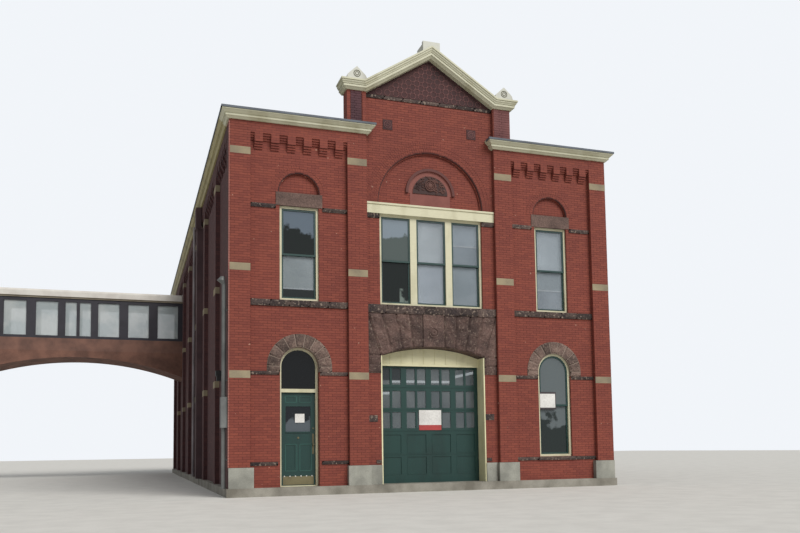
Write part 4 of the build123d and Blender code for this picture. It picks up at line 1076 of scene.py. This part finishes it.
plate_white = weathered("bare_white_plate", (226, 224, 220), (206, 204, 200), 30.0, 0.0003, 0.6)
plate_red = weathered("bare_red_plate", (176, 62, 60), (150, 54, 52), 30.0, 0.0003, 0.6)
plate_dark = weathered("dark_plate_edge", (60, 52, 56), (48, 42, 46), 30.0, 0.0003, 0.6)
plates = [
    ((0.034, 0.562, 2.012), (0.659, 0.008, 0.416), flat),
    ((3.53, 0.187, 2.48), (0.49, 0.012, 0.40), flat),
]
red_foot = [((0.034, 0.562, 1.733), (0.659, 0.008, 0.142), flat)]
paper = [((-3.69, 0.376, 1.99), (0.25, 0.004, 0.23), flat)]
lay("bare_white_plates", plate_white, plates)
lay("bare_red_plate_foot", plate_red, red_foot)
lay("dark_plate_back", plate_dark, [((3.53, 0.194, 2.478), (0.548, 0.01, 0.504), flat)])
lay("door_paper", plate_white, paper, body="front_door")

# The front door's fittings are worn brass with bright steel screws, whose heads are painted
# near white as a painted glint. The mast on the left wall is galvanised, and its pipe, trunk
# and lamp are painted iron.

brass = weathered("worn_brass", (124, 116, 86), (88, 82, 62), 90.0, 0.0008, 0.45, metallic=0.35)
wear(brass, "door_hardware")
screw_steel_and_glint = weathered("screw_steel_and_painted_glint", (206, 206, 200), (180, 180, 176), 60.0, 0.0003, 0.35)
screws = [((-4.1 + 0.145 * number, 0.3585, 0.485), (0.03, 0.01, 0.03), flat) for number in range(6)]
lay("kick_plate_screws", screw_steel_and_glint, screws, body="front_door")
for name, tone, worn, roughness, metallic, fitting in (
    ("galvanised_steel", (124, 126, 124), (98, 100, 99), 0.5, 0.4, "service_mast"),
    ("grey_pipe_paint", (150, 144, 146), (120, 114, 116), 0.6, 0.0, "rainwater_pipe"),
    ("dark_sheet_iron", (88, 64, 66), (72, 52, 55), 0.7, 0.0, "wall_trunk"),
    ("black_lamp_iron", (44, 44, 46), (34, 34, 36), 0.5, 0.0, "side_lamp"),
):
    wear(weathered(name, tone, worn, 60.0, 0.001, roughness, metallic=metallic), fitting)

# The footbridge is a later one of rendered brick and steel, with a band of dark-framed
# glass under a white flat roof.

render = ((124, 88, 74), (96, 68, 58))
wear(weathered("brown_render", *render, 40.0, 0.002, 0.9), "footbridge_deck")


def by_height(name, level, lower, lower_stain, upper, upper_stain):
    """Two paints on one piece, one below a level and one above it."""
    finish, tree, shader, where = blank_finish(name, 0.7)
    slow = between(tree, cloud(tree, where, 1.7, 6.0), 0.38, 0.66)
    below = mixed(tree, slow, lower, lower_stain)
    above = mixed(tree, slow, upper, upper_stain)
    higher = between(tree, axes(tree, where)["Z"], level - 0.004, level + 0.004)
    coated(tree, shader, mixed(tree, higher, below, above), cloud(tree, where, 50.0, 5.0), 0.001)
    return finish


frames = ((50, 48, 56), (42, 40, 47))
wear(by_height("render_and_dark_frames", 6.41, *render, *frames), "footbridge_walls")
trim = ((150, 140, 122), (130, 120, 104))
fascia = ((214, 210, 202), (196, 190, 182))
wear(by_height("trim_and_fascia", 8.325, *trim, *fascia), "footbridge_roof")

# A pale floor, soft light from the right of the street, and a camera at eye height on the
# left of the street, with a lens shift that keeps the walls upright.

ground = bpy.data.meshes.new("studio_floor")
ground.from_pydata([(-90, -60, 0), (90, -60, 0), (90, 120, 0), (-90, 120, 0)], [], [(0, 1, 2, 3)])
pale = weathered("pale_studio_floor", (214, 212, 206), (206, 204, 198), 8.0, 0.0005, 0.9, specks=0.02)
ground.materials.append(pale)
floor = into_scene("studio_floor", ground)
floor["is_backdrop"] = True

world = bpy.data.worlds.new("soft_sky")
world.use_nodes = True
sky = world.node_tree
background = sky.nodes["Background"].inputs
background["Color"].default_value = (0.93, 0.96, 1.0, 1.0)
seen = put(sky, "ShaderNodeLightPath", {}).outputs["Is Camera Ray"]
sky.links.new(between(sky, seen, 0.0, 1.0, 0.42, 0.95), background["Strength"])
bpy.context.scene.world = world

sun = bpy.data.lights.new("overcast_key", "SUN")
sun.energy = 2.6
sun.angle = math.radians(38)
sun.color = (1.0, 0.98, 0.95)
lamp = into_scene("overcast_key", sun)
lamp.rotation_mode = "QUATERNION"
lamp.rotation_quaternion = Vector((-0.42, 1.0, -0.95)).to_track_quat("-Z", "Y")

camera_data = bpy.data.cameras.new("street_camera")
camera_data.sensor_width = 36.0
camera_data.lens = 36.09
camera_data.shift_x, camera_data.shift_y = -0.0046, 0.1477
camera_data.clip_end = 400.0
camera = into_scene("street_camera", camera_data)
heading, lift, roll = math.radians(18.963), math.radians(4.521), math.radians(-0.807)
aim = Matrix.Rotation(-heading, 3, "Z") @ Matrix.Rotation(math.pi / 2 + lift, 3, "X")
aim = (aim @ Matrix.Rotation(roll, 3, "Z")).to_4x4()
camera.matrix_world = Matrix.Translation((-7.929, -20.375, 1.172)) @ aim
bpy.context.scene.camera = camera
bpy.context.scene.view_settings.view_transform = "Standard"

low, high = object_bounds()
